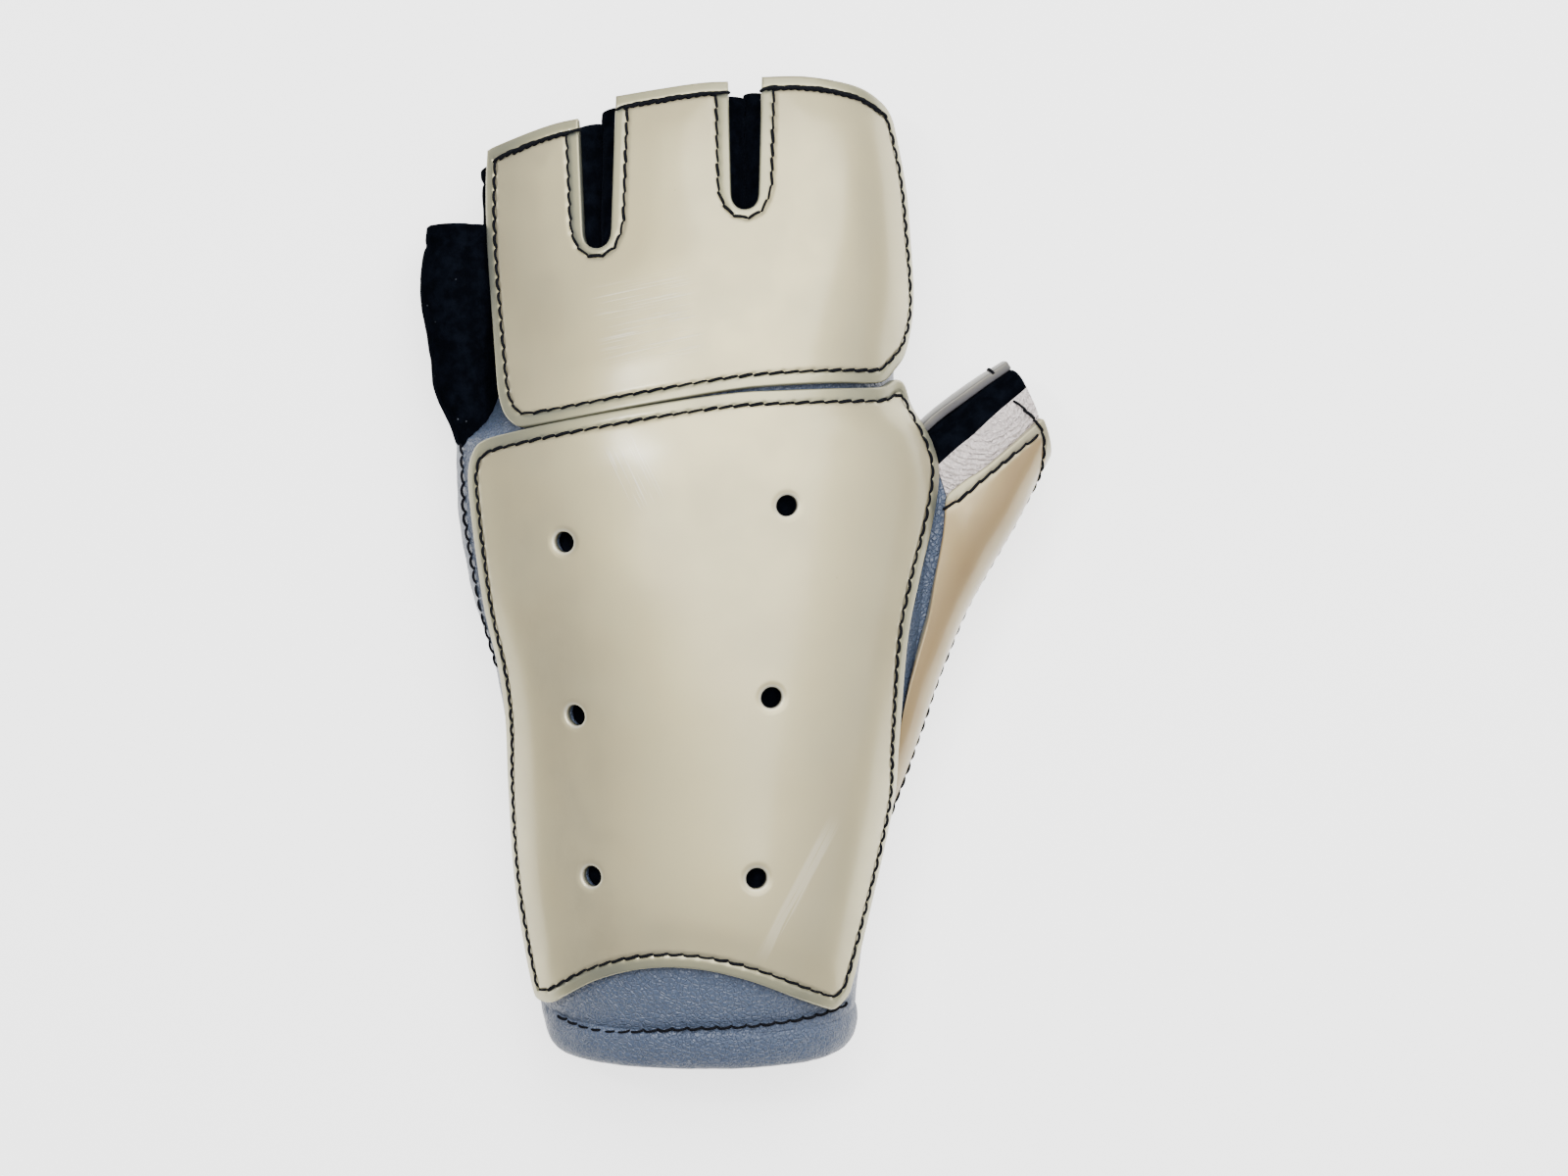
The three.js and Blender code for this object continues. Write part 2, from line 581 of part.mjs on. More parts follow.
// A loop round a finger sleeve a share of the way from the finger seam to its slanted end.
function sleeveLoop(cell, share, inset) {
  const [[x0, y0], [x1, y1]] = cell.end;
  const start = FINGER_SEAM_Y + GAP;
  const middle = sleeveSection(cell, start + (y0 / 2 + y1 / 2 - start) * share, inset);
  return turnOf(SLEEVE_SIDES).map((angle) => {
    const end = y0 + ((y1 - y0) * (middle(angle).x - x0)) / (x1 - x0);
    return sleeveSection(cell, start + (end - start) * share, inset)(angle);
  });
}

function fingerSleeve(cell) {
  const outer = SLEEVE_SHARES.map((share) => sleeveLoop(cell, share, 0));
  const inner = SLEEVE_SHARES.map((share) => sleeveLoop(cell, share, CLOTH)).reverse();
  return solidOf(loft([...outer, ...inner], 'wrap'));
}

// The little finger's section at a Y place, drawn in by an inset.
function littleLoop(y, inset) {
  const { left, right, low, high } = littleAt(y);
  return turnOf(SLEEVE_SIDES).map((angle) => new THREE.Vector3(
    (left + right) / 2 + ((right - left) / 2 - inset) * rounded(Math.cos(angle), LITTLE_ROUNDNESS),
    y,
    (low + high) / 2 + ((high - low) / 2 - inset) * rounded(Math.sin(angle), LITTLE_ROUNDNESS),
  ));
}

const littleRows = spread(LITTLE_ROWS[0][0], LITTLE_ROWS.at(-1)[0], LITTLE_STEPS);

function littleTube() {
  const outer = littleRows.map((y) => littleLoop(y, 0));
  const inner = littleRows.map((y) => littleLoop(y, CLOTH)).reverse();
  return solidOf(loft([...outer, ...inner], 'wrap'));
}

const littleCavity = () => solidOf(loft(littleRows.map((y) => littleLoop(y, CLOTH)), 'fan'));

const thumbStations = spread(0, THUMB_ROWS.length - 1, THUMB_ROWS.length - 1);

// A stiff sheet on the thumb, cut to an outline of stations and angles.
function thumbSheet(outline) {
  const { along, round } = THUMB_PATTERN;
  const corners = outline.map(([station, angle]) => (
    new THREE.Vector2(station * along, angle * DEGREE * round)
  ));
  const edge = divided(corners, SHEET_STEP);
  const patternPlace = (x, y, depth) => thumbPoint(x / along, y / round, depth);
  const cutter = drape(edge, [], THUMB_SHEET_STEP, patternPlace, -CUTTER_MARGIN, SHEET + CUTTER_MARGIN);
  const sides = outline.map(([, angle]) => angle);
  const [from, to] = [Math.min(...sides) - ROOM.degrees, Math.max(...sides) + ROOM.degrees];
  const fieldPlace = (angle, station, depth) => thumbPoint(station, angle, depth);
  const field = wall(fieldPlace, anglesBetween(from, to, THUMB_ANGLE_STEP), thumbStations, 0, SHEET);
  return field.intersect(cutter);
}

// A wall of the thumb tube between two angles, which lean towards the web near the top seam.
function thumbWall(from, to, stations, outside, inside) {
  const place = (angle, station, depth) => {
    const lean = THUMB_SEAMS.lean * DEGREE * Math.min(station, THUMB_SEAMS.leanStations);
    const nearSeam = Math.max(0, Math.cos(angle - THUMB_SEAMS.top * DEGREE));
    return thumbPoint(station, angle - lean * nearSeam, depth);
  };
  return wall(place, anglesBetween(from, to, THUMB_ANGLE_STEP), stations, outside, inside);
}

const gussetStations = thumbStations.filter((station) => station > THUMB_GUSSET.station);

function thumbGusset() {
  const { station, from, to } = THUMB_GUSSET;
  return thumbWall(from, to, [station, ...gussetStations], LEATHER_OUTSIDE, LEATHER_INSIDE);
}

// The room that the gusset takes out of the walls beside it.
function gussetRoom() {
  const { station, from, to } = THUMB_GUSSET;
  const stations = [station - ROOM.stations, ...gussetStations, thumbStations.at(-1) + ROOM.stations];
  const [upper, lower] = [LEATHER_OUTSIDE - ROOM.depth, LEATHER_INSIDE + ROOM.depth];
  return thumbWall(from - ROOM.degrees, to + ROOM.degrees, stations, upper, lower);
}

function thumbLeather() {
  return thumbWall(THUMB_SEAMS.top, THUMB_SEAMS.under, thumbStations, LEATHER_OUTSIDE, LEATHER_INSIDE);
}

function thumbSleeve() {
  const { under, top, gap } = THUMB_SEAMS;
  return thumbWall(under + gap, 360 + top - gap, thumbStations, LEATHER_OUTSIDE, CLOTH_INSIDE);
}

function thumbCavity() {
  const angles = anglesBetween(0, 360, THUMB_ANGLE_STEP).slice(0, -1);
  const stations = [-THUMB_MOUTH, ...thumbStations];
  const loops = stations.map((station) => angles.map((angle) => thumbPoint(station, angle, LEATHER_INSIDE)));
  return solidOf(loft(loops, 'fan'));
}

// Materials.
const finish = (color, roughness) => new THREE.MeshStandardMaterial({ color, roughness, metalness: 0 });
const cream = finish(0xd8d2c2, 0.32);
const blueLeather = finish(0x66748a, 0.62);
const whiteLeather = finish(0xc8c3c0, 0.6);
const blackCloth = finish(0x0b0e15, 0.95);

const thumbHollow = thumbCavity();
const littleHollow = littleCavity();
const handBlock = handSolid(SHEET - GAP, CUFF.side, FINGER_SEAM_Y + GAP);
const hollows = [thumbHollow, littleHollow];
const rootCuts = [handBlock, gussetRoom()];

const cut = (solid, tools) => tools.reduce((left, tool) => left.subtract(tool), solid);

const glove = new THREE.Group();
const add = (name, solid, material) => glove.add(meshOf(name, solid, material));

const { thumbSeam, outerSeam, palmSeam, seamGap } = ANGLES;
const aboveHem = HEM.width + GAP;
const back = handLeather(thumbSeam, outerSeam, aboveHem);
const side = handLeather(outerSeam + seamGap, palmSeam, aboveHem);
const palm = handLeather(palmSeam + seamGap, 360 + thumbSeam - seamGap, 0);

add('finger_panel', fingerPanel(), cream);
add('hand_panel', handPanel(), cream);
add('thumb_panel', cut(thumbSheet(THUMB_PANEL), [handBlock]), cream);
add('thumb_inner_panel', cut(thumbSheet(THUMB_INNER_PANEL), [handBlock]), cream);
add('back_leather', cut(back, [...hollows, ...VENTS.map(ventPlug)]), blueLeather);
add('side_leather', cut(side, hollows), blueLeather);
add('palm_leather', cut(palm, hollows), whiteLeather);
add('cuff_hem', cuffHem(), blueLeather);
add('hand_liner', cut(handLiner(), [thumbHollow]), blackCloth);
FINGER_CELLS.forEach((cell) => add(cell.name, fingerSleeve(cell), blackCloth));
add('little_sleeve', cut(littleTube(), [handBlock]), blackCloth);
add('thumb_gusset', cut(thumbGusset(), [handBlock]), blueLeather);
add('thumb_leather', cut(thumbLeather(), rootCuts), whiteLeather);
add('thumb_sleeve', cut(thumbSleeve(), rootCuts), blackCloth);

export default glove;
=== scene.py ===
import math

import bpy
import numpy as np
from bpy.props import FloatProperty, FloatVectorProperty, PointerProperty
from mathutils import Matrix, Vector, kdtree, noise
from mathutils.geometry import delaunay_2d_cdt


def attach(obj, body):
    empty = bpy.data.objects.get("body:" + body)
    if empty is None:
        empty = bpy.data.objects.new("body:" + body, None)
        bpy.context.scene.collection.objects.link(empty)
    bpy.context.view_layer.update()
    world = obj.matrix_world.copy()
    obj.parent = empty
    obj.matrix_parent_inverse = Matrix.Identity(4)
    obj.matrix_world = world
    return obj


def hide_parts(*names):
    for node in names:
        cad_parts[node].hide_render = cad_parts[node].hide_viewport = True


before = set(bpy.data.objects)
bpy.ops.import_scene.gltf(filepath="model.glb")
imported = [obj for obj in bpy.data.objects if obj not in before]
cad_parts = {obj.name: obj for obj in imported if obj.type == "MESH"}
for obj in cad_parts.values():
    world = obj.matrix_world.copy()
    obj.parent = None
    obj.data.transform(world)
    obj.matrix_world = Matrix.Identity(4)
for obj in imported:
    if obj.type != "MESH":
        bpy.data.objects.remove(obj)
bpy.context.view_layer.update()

bl_info = {
    "name": "Target Shooting Glove",
    "version": (1, 0, 0),
    "blender": (4, 5, 0),
    "location": "3D View > Sidebar > Glove",
    "description": "Makes an open-finger shooting glove of stiff sheets, leather, cloth and stitches",
    "category": "Add Mesh",
}

# The glove lies palm down. Lengths in the tables are millimetres, and meshes are made in metres.
MM = 0.001
BODY = "root"

# Layers, as depths below a form.
SHEET = 2.2
LEATHER_OUTSIDE = 2.5
LEATHER_INSIDE = 3.8
CLOTH = 1.2
CLOTH_INSIDE = 3.7
LINER_OUTSIDE = 4.1
LINER_INSIDE = 5.3

# Cross-sections of the hand, by Y: sides as X places, then heights.
HAND_COLUMNS = ("left", "body", "ridge", "right", "middle", "top", "bottom")
HAND_ROWS = (
    (-118, -45.5, -45.5, -7, 29, 13, 33, -3),
    (-106, -47, -47, -5.5, 31, 14, 38, -3),
    (-95, -50, -50, -4, 32, 14, 42, -3),
    (-75, -53, -53, -3, 35, 14, 44.5, -3),
    (-50, -55, -55, -3, 40, 13, 45.5, -3),
    (-25, -59, -59, -3, 46, 12.5, 46.5, -3),
    (0, -66, -66, -3, 51, 12, 47, -3),
    (20, -69, -69, -2, 52.5, 12, 47, -3),
    (32, -69.5, -69, -1, 50.1, 12, 46.5, -3),
    (42, -67.5, -60, 1.5, 43.8, 12, 45.5, -3),
    (52, -65.5, -57, 4.5, 43, 12, 44.5, -3),
    (70, -64, -57, 9.5, 44, 12, 42.5, -2.5),
    (81, -64, -57.2, 11.5, 43.7, 12, 40.5, -1.7),
    (88, -64, -62.5, 12, 43, 12, 39, -1),
    (100, -64, -63, 12.5, 41, 12.5, 36, 0.5),
    (118, -64, -61.5, 13, 37.5, 13.5, 29.5, 2.5),
)
HAND_ROUNDNESS = {"left": 2.0, "right": 2.2, "palm": 2.6}

# Cross-sections of the thumb, by station from its rim: the web side, the outer side and heights.
THUMB_COLUMNS = ("web_x", "web_y", "outer_x", "outer_y", "low", "high")
THUMB_ROWS = (
    (0, 63.2, 50.9, 74.9, 28.3, 3, 28),
    (1, 57.4, 47.2, 71.2, 21.4, 2, 29),
    (2, 51.4, 43, 65.9, 11.4, 1, 30),
    (3, 45.6, 38.4, 59.8, 0.9, 0, 30),
    (4, 39.7, 32.3, 54, -10.1, 0, 29),
    (5, 33.9, 24.2, 48, -25.4, 0, 28),
    (6, 28.6, 12.5, 43.2, -39.9, 0, 27.5),
    (7, 23.4, -2.6, 38.4, -53.8, 0, 27),
    (8, 20, -21.2, 33.6, -66, 0, 26),
)
THUMB_ROUNDNESS = 2.3
THUMB_RIM_BOW = 2.5
THUMB_BOW_STATIONS = 2

# Upright ellipses of the little finger, by Y.
LITTLE_COLUMNS = ("left", "right", "low", "high")
LITTLE_ROWS = (
    (24, -63.5, -53, 4, 20),
    (36, -68.2, -55.5, 1, 24),
    (46, -72.3, -55.4, 1, 25),
    (56, -73.4, -55, 1, 25.5),
    (66, -75, -55.2, 1, 25.5),
    (82.5, -73.2, -56, 2.5, 25),
)
LITTLE_ROUNDNESS = 2.2

# The seam where the fingers start, the cuff's curved edge and its rolled hem.
FINGER_SEAM_Y = 52
CUFF_SIDE = -108.5
CUFF_BACK_DROP = 7.3
CUFF_PALM_DROP = 8
CUFF_SQUARENESS = 0.6
HEM_WIDTH = 10
HEM_THICKNESS = 3
HEM_ROUNDNESS = 2.4
HEM_PROUD = 0.8
HEM_STEPS = 300
HEM_SIDES = 36

# The leather is drawn in by this much at the thumb side between the sheets' corners.
CORNER_TUCK = 2.6
CORNER_TUCK_Y = 47.5
CORNER_TUCK_REACH = 5

# Angles round the hand in degrees: 0 at the thumb, 90 on the ridge, 270 on the palm.
THUMB_SEAM = 4
OUTER_SEAM = 160
PALM_SEAM = 222

# Runs of the sheets' plan outlines, as X, Y places.
PANEL_SEAM = ((-54, 33), (-39, 35.8), (-16, 39.7), (1, 42.2), (12, 43), (24, 43.7), (34, 44.2))
PANEL_SEAM_GAPS = (0.3, 0.2, 0.3, 0.7, 1.1, 1.2, 1.0)
FINGER_OUTER = ((-58.2, 100.4), (-58.5, 90), (-57.8, 74.6), (-55.6, 50.8), (-54.5, 41.8), (-52.8, 37))
FINGER_SEAM_ENDS = ((-49.6, 34.3), (35.9, 45.6))
FINGER_THUMB_SIDE = ((38.2, 48.6), (40.5, 52.5), (42.4, 64), (41.5, 81), (40.4, 93), (37.6, 107.5))
INDEX_TAB = ((36, 110.5), (31, 113.8), (25, 115.4), (16, 116.5), (6.6, 116.3))
MIDDLE_TAB = ((-1.2, 115.2), (-9, 114.8), (-27.4, 112))
RING_TAB = ((-36.2, 106.8), (-43, 105.5), (-57, 101))
RING_SLOT = (-34.7, -28.1, 75.5)
INDEX_SLOT = (-0.4, 6, 84)
HAND_THUMB_SIDE = (
    (37.8, 46.2), (40, 45.6), (41.7, 40.3), (46.6, 31.5), (48.2, 24), (46.6, 12.8), (43.3, -1),
    (40.6, -15), (38.8, -38.5), (37.5, -54), (30.4, -85), (27.2, -97.5),
)
HAND_CUFF = (
    (23.6, -100.8), (16.6, -97.7), (4.6, -92.6), (-7.3, -89.7), (-19.4, -89.6), (-31.7, -93),
    (-42.7, -99.7),
)
HAND_OUTER = (
    (-46.8, -99.4), (-49.3, -87.2), (-51.9, -70), (-53.2, -50), (-53.6, -33), (-55.2, -21),
    (-58.5, -6.5), (-61.6, 17), (-61.9, 26), (-59.8, 31),
)
HAND_SEAM_ENDS = ((-57.5, 32), (36.4, 44.6))
VENTS = ((-38.6, 7.9), (12.5, 16.1), (-36.1, -31.8), (9, -27.5), (-32.4, -68.7), (5.6, -68.7))
VENT_RADIUS = 2.4
LEATHER_VENT_RADIUS = 2.8
OUTLINE_STEP = 0.45
CORNER_PASSES = 14
THUMB_CORNER_PASSES = 10
SLOT_SIDES = 24
SLOT_NEAR = 0.5
HAND_MARGIN_EXTRA = 0.2
TIP_PITCH = 1.05
SEAM_STEP = 0.25

# How a sheet is meshed: rings inside its edges, fine bands by its edges and seams, and a coarse underside.
EDGE_RINGS = (0.1, 0.26, 0.5)
EDGE_CLEAR = 0.72
EDGE_BAND = 3.4
SEAM_BAND = 2.2
UNDER_INSET = 0.3
UNDER_STEP = 3.5
UNDER_CLEAR = 1.2
UNDER_VALUES = {"inward": -3.0, "seam": 9.0, "vent": 9.0}
NO_VENT = 99.0

# How far a sheet's relief reaches from its seams, needle holes, vents and stitched margins.
GROOVE_WIDTH = 0.6
DIMPLE_WIDTH = 0.55
DISH_WIDTH = 1.6
PUFF_START = 0.3
PUFF_END = 9

# A seam's line is taken out where it comes nearer to the edge than its margin by more than this slack.
LOOP_SLACK = 0.12
JOIN_REACH = 2.5
SHORTEST_PART = 12

# How walls are meshed: the hand's mean radius spaces the columns, and creases steeper than this stay sharp.
WALL_STEP = 1.3
BACK_WALL_STEP = 0.9
WALL_RADIUS = 52
SHARP_ANGLE = 50
BLOCK_STEP = 3
LITTLE_WALL = 1.0

# The gap between two walls of the hand, in degrees, and how far the leather goes under the hem.
LEATHER_GAP = 0.6
HEM_LAP = 0.5

# The lining's angles and Y places, and its steps each way.
LINER_ANGLES = (33, 148)
LINER_ENDS = (-82, 31)
LINER_STEPS = 80

# Outlines on the thumb: station along it and angle round it, 90 on top and 180 outside.
THUMB_PANEL = (
    (0, 110), (1.1, 101), (2, 93), (3.4, 84.5), (3.9, 97), (4.4, 107), (4.9, 117), (6.1, 124), (6.7, 134),
    (7.3, 146), (7.4, 165), (6.9, 188), (6, 198), (4, 225), (3, 240), (1.5, 248), (0, 250),
)
THUMB_INNER_PANEL = ((0, 30), (1.5, 26), (3, 21), (4.6, 24), (4.6, -60), (3, -70), (1.5, -75), (0, -75))
THUMB_PANEL_CORNERS = (0, 3, 16)
THUMB_INNER_CORNERS = (0, 3, 4, 7)

# Seams on the thumb as stations and angles.
THUMB_TOP_STITCHES = ((3.6, 88), (2.95, 93), (2.06, 98), (1.16, 108), (0.4, 118))
THUMB_TIP_STITCHES = ((0.3, 103), (0.22, 123), (0.36, 137), (0.64, 156), (0.94, 174), (1.5, 184))
THUMB_LOW_STITCHES = ((1.5, 184), (2.6, 185), (4.15, 182), (5, 177), (6, 170), (7.3, 164))
THUMB_INNER_STITCHES = ((0.45, -16), (0.62, 29))
WHITE_STITCHES = ((0.53, 78), (0.38, 90), (0.2, 106))

# The middle of the fine rings that wrinkle the thumb's leather and how far they go, in metres. The rings'
# troughs get painted shade.
RIPPLE_CENTRE = (0.057, 0.046, 0.035)
RIPPLE_REACH = 0.035
RIPPLE_FADE = 1.6

# Rubbed patches on the sheets: centre, angle, half sizes, fineness and threshold, then strength. Inside them
# the scratch lines are painted pale as highlights where they catch the light, and the third is a painted
# sheen streak.
LIT_SCRATCH_PATCHES = (
    (((-19.5, 59, 40), -11, 13, 11, 2200, 0.57), 1.0),
    (((-22.5, 23.5, 40), 64, 9, 5, 2000, 0.57), 1.0),
    (((15, -71.5, 40), -62, 20, 1.9, 1500, 0.36), 0.4),
)
SCRATCH_STRETCH = 40
SCRATCH_EDGE = 0.06
# Painted highlight: the scratch lines' pale colour and how much of it shows.
SCRATCH_HIGHLIGHT_SHARE = 0.55
SCRATCH_HIGHLIGHT_COLOUR = (0.9, 0.88, 0.84)
SPECK_SHARE = 0.55
SPECK_COLOUR = (0.12, 0.1, 0.08)

# How strongly the thumb's two sheets mirror light, as shares of the hand's sheets.
TAN_MIRROR = 0.65
STRIP_MIRROR = 0.35

# How fine the leathers' grain and creases are. The cracks are coarser than the pebbles by a share.
BLUE_GRAIN = 1700.0
BLUE_CREASE = 60.0
WHITE_GRAIN = 2300.0
WHITE_CREASE = 90.0
CRACK_SHARE = 0.55
SHEEN_COLOUR = (0.35, 0.45, 0.7)
LINT_COLOUR = (0.45, 0.5, 0.6)
STRAND_COLOUR = (0.008, 0.009, 0.012)

# Each stitch is a bent thread, and its length, width and height vary between two sizes.
STITCH_STEPS = 8
STITCH_SIDES = 8
STITCH_LEAST = (0.93, 0.75, 0.9)
STITCH_MOST = (1.06, 1.25, 1.12)
STITCH_SEED = 7
STITCH_AXES = ("along", "up")

# Seams on the hand's leather, as plan places, and how deep each seam on leather sinks in.
SIDE_SINK = 0.3
CUFF_SINK = 0.5
WHITE_SINK = 0.2
SIDE_STITCHES = ((-66.4, 33), (-66, 21), (-65, 9.5), (-63, -2.6), (-60.6, -14.2), (-58.2, -22))
CUFF_STITCHES = (
    (-43.6, -103.6), (-36.4, -105.6), (-28.6, -106.3), (-22.5, -106), (-10.3, -105.2), (1.9, -104.8),
    (14.1, -103.7), (22.6, -102.3), (29.2, -100.4),
)

# The thumb's seams in degrees, and the gusset between its root and the hand.
THUMB_TOP_SEAM = 76.5
THUMB_UNDER_SEAM = 254.5
THUMB_SEAM_LEAN = 4.2
THUMB_LEAN_STATIONS = 4
GUSSET_STATION = 3.45
GUSSET_ANGLES = (40, 150)
GUSSET_ROOM = 0.5
THUMB_GAP = 0.3
THUMB_LAP = 0.5
THUMB_ROOT = 8
THUMB_STEPS = 120
THUMB_WALL_TURN = 3
GUSSET_STEPS = 70
THUMB_WRAP_ANGLE = 165
THUMB_WRAP_MARGIN = 5.0

# The walls between the finger sleeves, and the slants that they end on.
FINGER_CELLS = (
    ("ring_sleeve", None, -30.0, (-59, 97), (-31, 106)),
    ("middle_sleeve", -31.2, 3.1, (-30, 109), (2, 112)),
    ("index_sleeve", 1.9, None, (3, 113), (37, 106.5)),
)
CELL_BASE_ROUNDNESS = 4.5
CELL_TIP_ROUNDNESS = 2.8
CELL_HEADROOM = 0.5
CELL_SIDES = 96
HEM_SHARE = 0.93
LIP_SHARE = 0.008
SLEEVE_SIDES = 120
SLEEVE_STEPS = 70
LITTLE_STEPS = 80

# A sleeve's hem, as a sewn groove and a swelling beyond it, in millimetres and shares of its length.
HEM_GROOVE = 0.4
HEM_GROOVE_WIDTH = 0.014
HEM_SWELL = 0.25
HEM_SWELL_REACH = 0.04

# The stage, in metres: area lights by width, length and place, the floor, and the camera's place over it.
LIGHTS = (
    ("key", 0.9, 1.2, (0.14, 0.36, 0.92)),
    ("right", 0.7, 0.7, (0.6, 0.0, 0.6)),
    ("left", 0.07, 0.16, (-0.315, 0.2, 0.76)),
)
FLOOR_REACH = 3
FLOOR_HEIGHT = -0.0004
FLOOR_SHADE = (0.7, 0.7, 0.7)
CAMERA_PLACE = (0.0118, -0.0026)

# A pattern is a form laid flat: its width is an angle times a radius.
PATTERN_RADIUS = 60
THUMB_PATTERN_ALONG = 12
THUMB_PATTERN_ROUND = 17


def smooth_column(keys, values):
    """A curve through a column of a table that never overshoots its values."""
    keys = np.array(keys, float)
    values = np.array(values, float)
    steps = np.diff(keys)
    rises = np.diff(values) / steps
    slopes = np.zeros(len(keys))
    slopes[0] = rises[0]
    slopes[-1] = rises[-1]
    for i in range(1, len(keys) - 1):
        if rises[i - 1] * rises[i] > 0:
            before = 2 * steps[i] + steps[i - 1]
            after = steps[i] + 2 * steps[i - 1]
            slopes[i] = (before + after) / (before / rises[i - 1] + after / rises[i])

    def value_at(key):
        key = np.asarray(key, float)
        i = np.clip(np.searchsorted(keys, key, side="right") - 1, 0, len(steps) - 1)
        s = np.clip((key - keys[i]) / steps[i], 0, 1)
        ease = s * s * (3 - 2 * s)
        curve = values[i] * (1 - ease) + values[i + 1] * ease
        curve = curve + slopes[i] * s * (1 - s) ** 2 * steps[i]
        curve = curve + slopes[i + 1] * s * s * (s - 1) * steps[i]
        beyond = slopes[0] * np.minimum(key - keys[0], 0) + slopes[-1] * np.maximum(key - keys[-1], 0)
        return curve + beyond

    return value_at


def table_curves(columns, rows):
    """One curve for each named column of a table, keyed by its first column."""
    keys = [row[0] for row in rows]
    return {name: smooth_column(keys, [row[i + 1] for row in rows]) for i, name in enumerate(columns)}


HAND = table_curves(HAND_COLUMNS, HAND_ROWS)
THUMB = table_curves(THUMB_COLUMNS, THUMB_ROWS)
LITTLE = table_curves(LITTLE_COLUMNS, LITTLE_ROWS)


def rounded(value, roundness):
    """A cosine or sine squared off towards its ends."""
    return np.sign(value) * np.abs(value) ** (2 / roundness)


def unit(vectors):
    """Vectors scaled to length one."""
    return vectors / np.maximum(np.linalg.norm(vectors, axis=-1, keepdims=True), 1e-12)


def right_edge(y, side):
    """The hand form's right edge, drawn in for the leather where the sheets' corners meet."""
    if side != "body":
        return HAND["right"](y)
    return HAND["right"](y) - CORNER_TUCK * np.exp(-(((y - CORNER_TUCK_Y) / CORNER_TUCK_REACH) ** 2))


def hand_surface(angle, y, side):
    """Points on the hand form. side is left under the sheets and body for the leather."""
    angle, y = np.broadcast_arrays(np.asarray(angle, float), np.asarray(y, float))
    towards = np.cos(angle)
    up = np.sin(angle)
    upper = np.where(towards < 0, HAND_ROUNDNESS["left"], HAND_ROUNDNESS["right"])
    roundness = np.where(up < 0, HAND_ROUNDNESS["palm"], upper)
    ridge = HAND["ridge"](y)
    half = np.where(towards < 0, ridge - HAND[side](y), right_edge(y, side) - ridge)
    middle = HAND["middle"](y)
    rise = np.where(up < 0, middle - HAND["bottom"](y), HAND["top"](y) - middle)
    return np.stack((
        ridge + half * rounded(towards, roundness),
        y,
        middle + rise * rounded(up, roundness),
    ), -1)


def thumb_axis():
    """The way the thumb points, from its root to its rim."""
    first, last = THUMB_ROWS[0], THUMB_ROWS[-1]
    axis = np.array((first[1] + first[3] - last[1] - last[3], first[2] + first[4] - last[2] - last[4], 0.0))
    return unit(axis)


THUMB_AXIS = thumb_axis()


def thumb_surface(station, angle):
    """Points on the thumb form."""
    station, angle = np.broadcast_arrays(np.asarray(station, float), np.asarray(angle, float))
    side = rounded(np.cos(angle), THUMB_ROUNDNESS)
    up = rounded(np.sin(angle), THUMB_ROUNDNESS)
    near_rim = np.maximum(0, 1 - station / THUMB_BOW_STATIONS)
    bow = THUMB_RIM_BOW * near_rim * np.maximum(0, np.sin(angle))
    web_x, web_y = THUMB["web_x"](station), THUMB["web_y"](station)
    outer_x, outer_y = THUMB["outer_x"](station), THUMB["outer_y"](station)
    low, high = THUMB["low"](station), THUMB["high"](station)
    return np.stack((
        (web_x + outer_x) / 2 + (web_x - outer_x) / 2 * side + bow * THUMB_AXIS[0],
        (web_y + outer_y) / 2 + (web_y - outer_y) / 2 * side + bow * THUMB_AXIS[1],
        (low + high) / 2 + (high - low) / 2 * up,
    ), -1)


def below(surface, a, b, depth, facing, step_a, step_b):
    """Points at a depth below a form, and the form's normals there."""
    along_a = surface(a + step_a, b) - surface(a - step_a, b)
    along_b = surface(a, b + step_b) - surface(a, b - step_b)
    normal = unit(np.cross(along_a, along_b)) * facing
    return surface(a, b) - normal * np.asarray(depth, float)[..., None], normal


def hand_place(angle, y, depth, side):
    """Points below the hand form, flattened where the palm rests, and their normals."""
    angle, y, depth = np.broadcast_arrays(*(np.asarray(v, float) for v in (angle, y, depth)))
    point, normal = below(lambda a, b: hand_surface(a, b, side), angle, y, depth, -1, 0.02, 0.5)
    point[..., 2] = np.maximum(point[..., 2], depth - LEATHER_OUTSIDE)
    return point, normal


def thumb_place(station, angle, depth):
    """Points below the thumb form, flattened where it rests, and their normals."""
    station, angle, depth = np.broadcast_arrays(*(np.asarray(v, float) for v in (station, angle, depth)))
    point, normal = below(thumb_surface, station, angle, depth, 1, 0.05, 0.02)
    point[..., 2] = np.maximum(point[..., 2], depth)
    return point, normal


def sheet_place(pattern, depth, side="left"):
    """Pattern places on the hand form, and their normals."""
    return hand_place(math.pi / 2 - pattern[..., 0] / PATTERN_RADIUS, pattern[..., 1], depth, side)


def thumb_sheet_place(pattern, depth):
    """Pattern places on the thumb form, and their normals."""
    return thumb_place(pattern[..., 0] / THUMB_PATTERN_ALONG, pattern[..., 1] / THUMB_PATTERN_ROUND, depth)


def pattern_of(plan, side="left"):
    """Plan places on the hand as pattern places."""
    plan = np.asarray(plan, float)
    x, y = plan[:, 0], plan[:, 1]
    ridge = HAND["ridge"](y)
    leftward = x < ridge
    half = np.where(leftward, ridge - HAND[side](y), right_edge(y, side) - ridge)
    share = np.minimum(np.abs(x - ridge) / half, 0.999)
    roundness = np.where(leftward, HAND_ROUNDNESS["left"], HAND_ROUNDNESS["right"])
    cosine = share ** (roundness / 2)
    angle = np.arccos(np.where(leftward, -cosine, cosine))
    return np.stack((PATTERN_RADIUS * (math.pi / 2 - angle), y), -1)


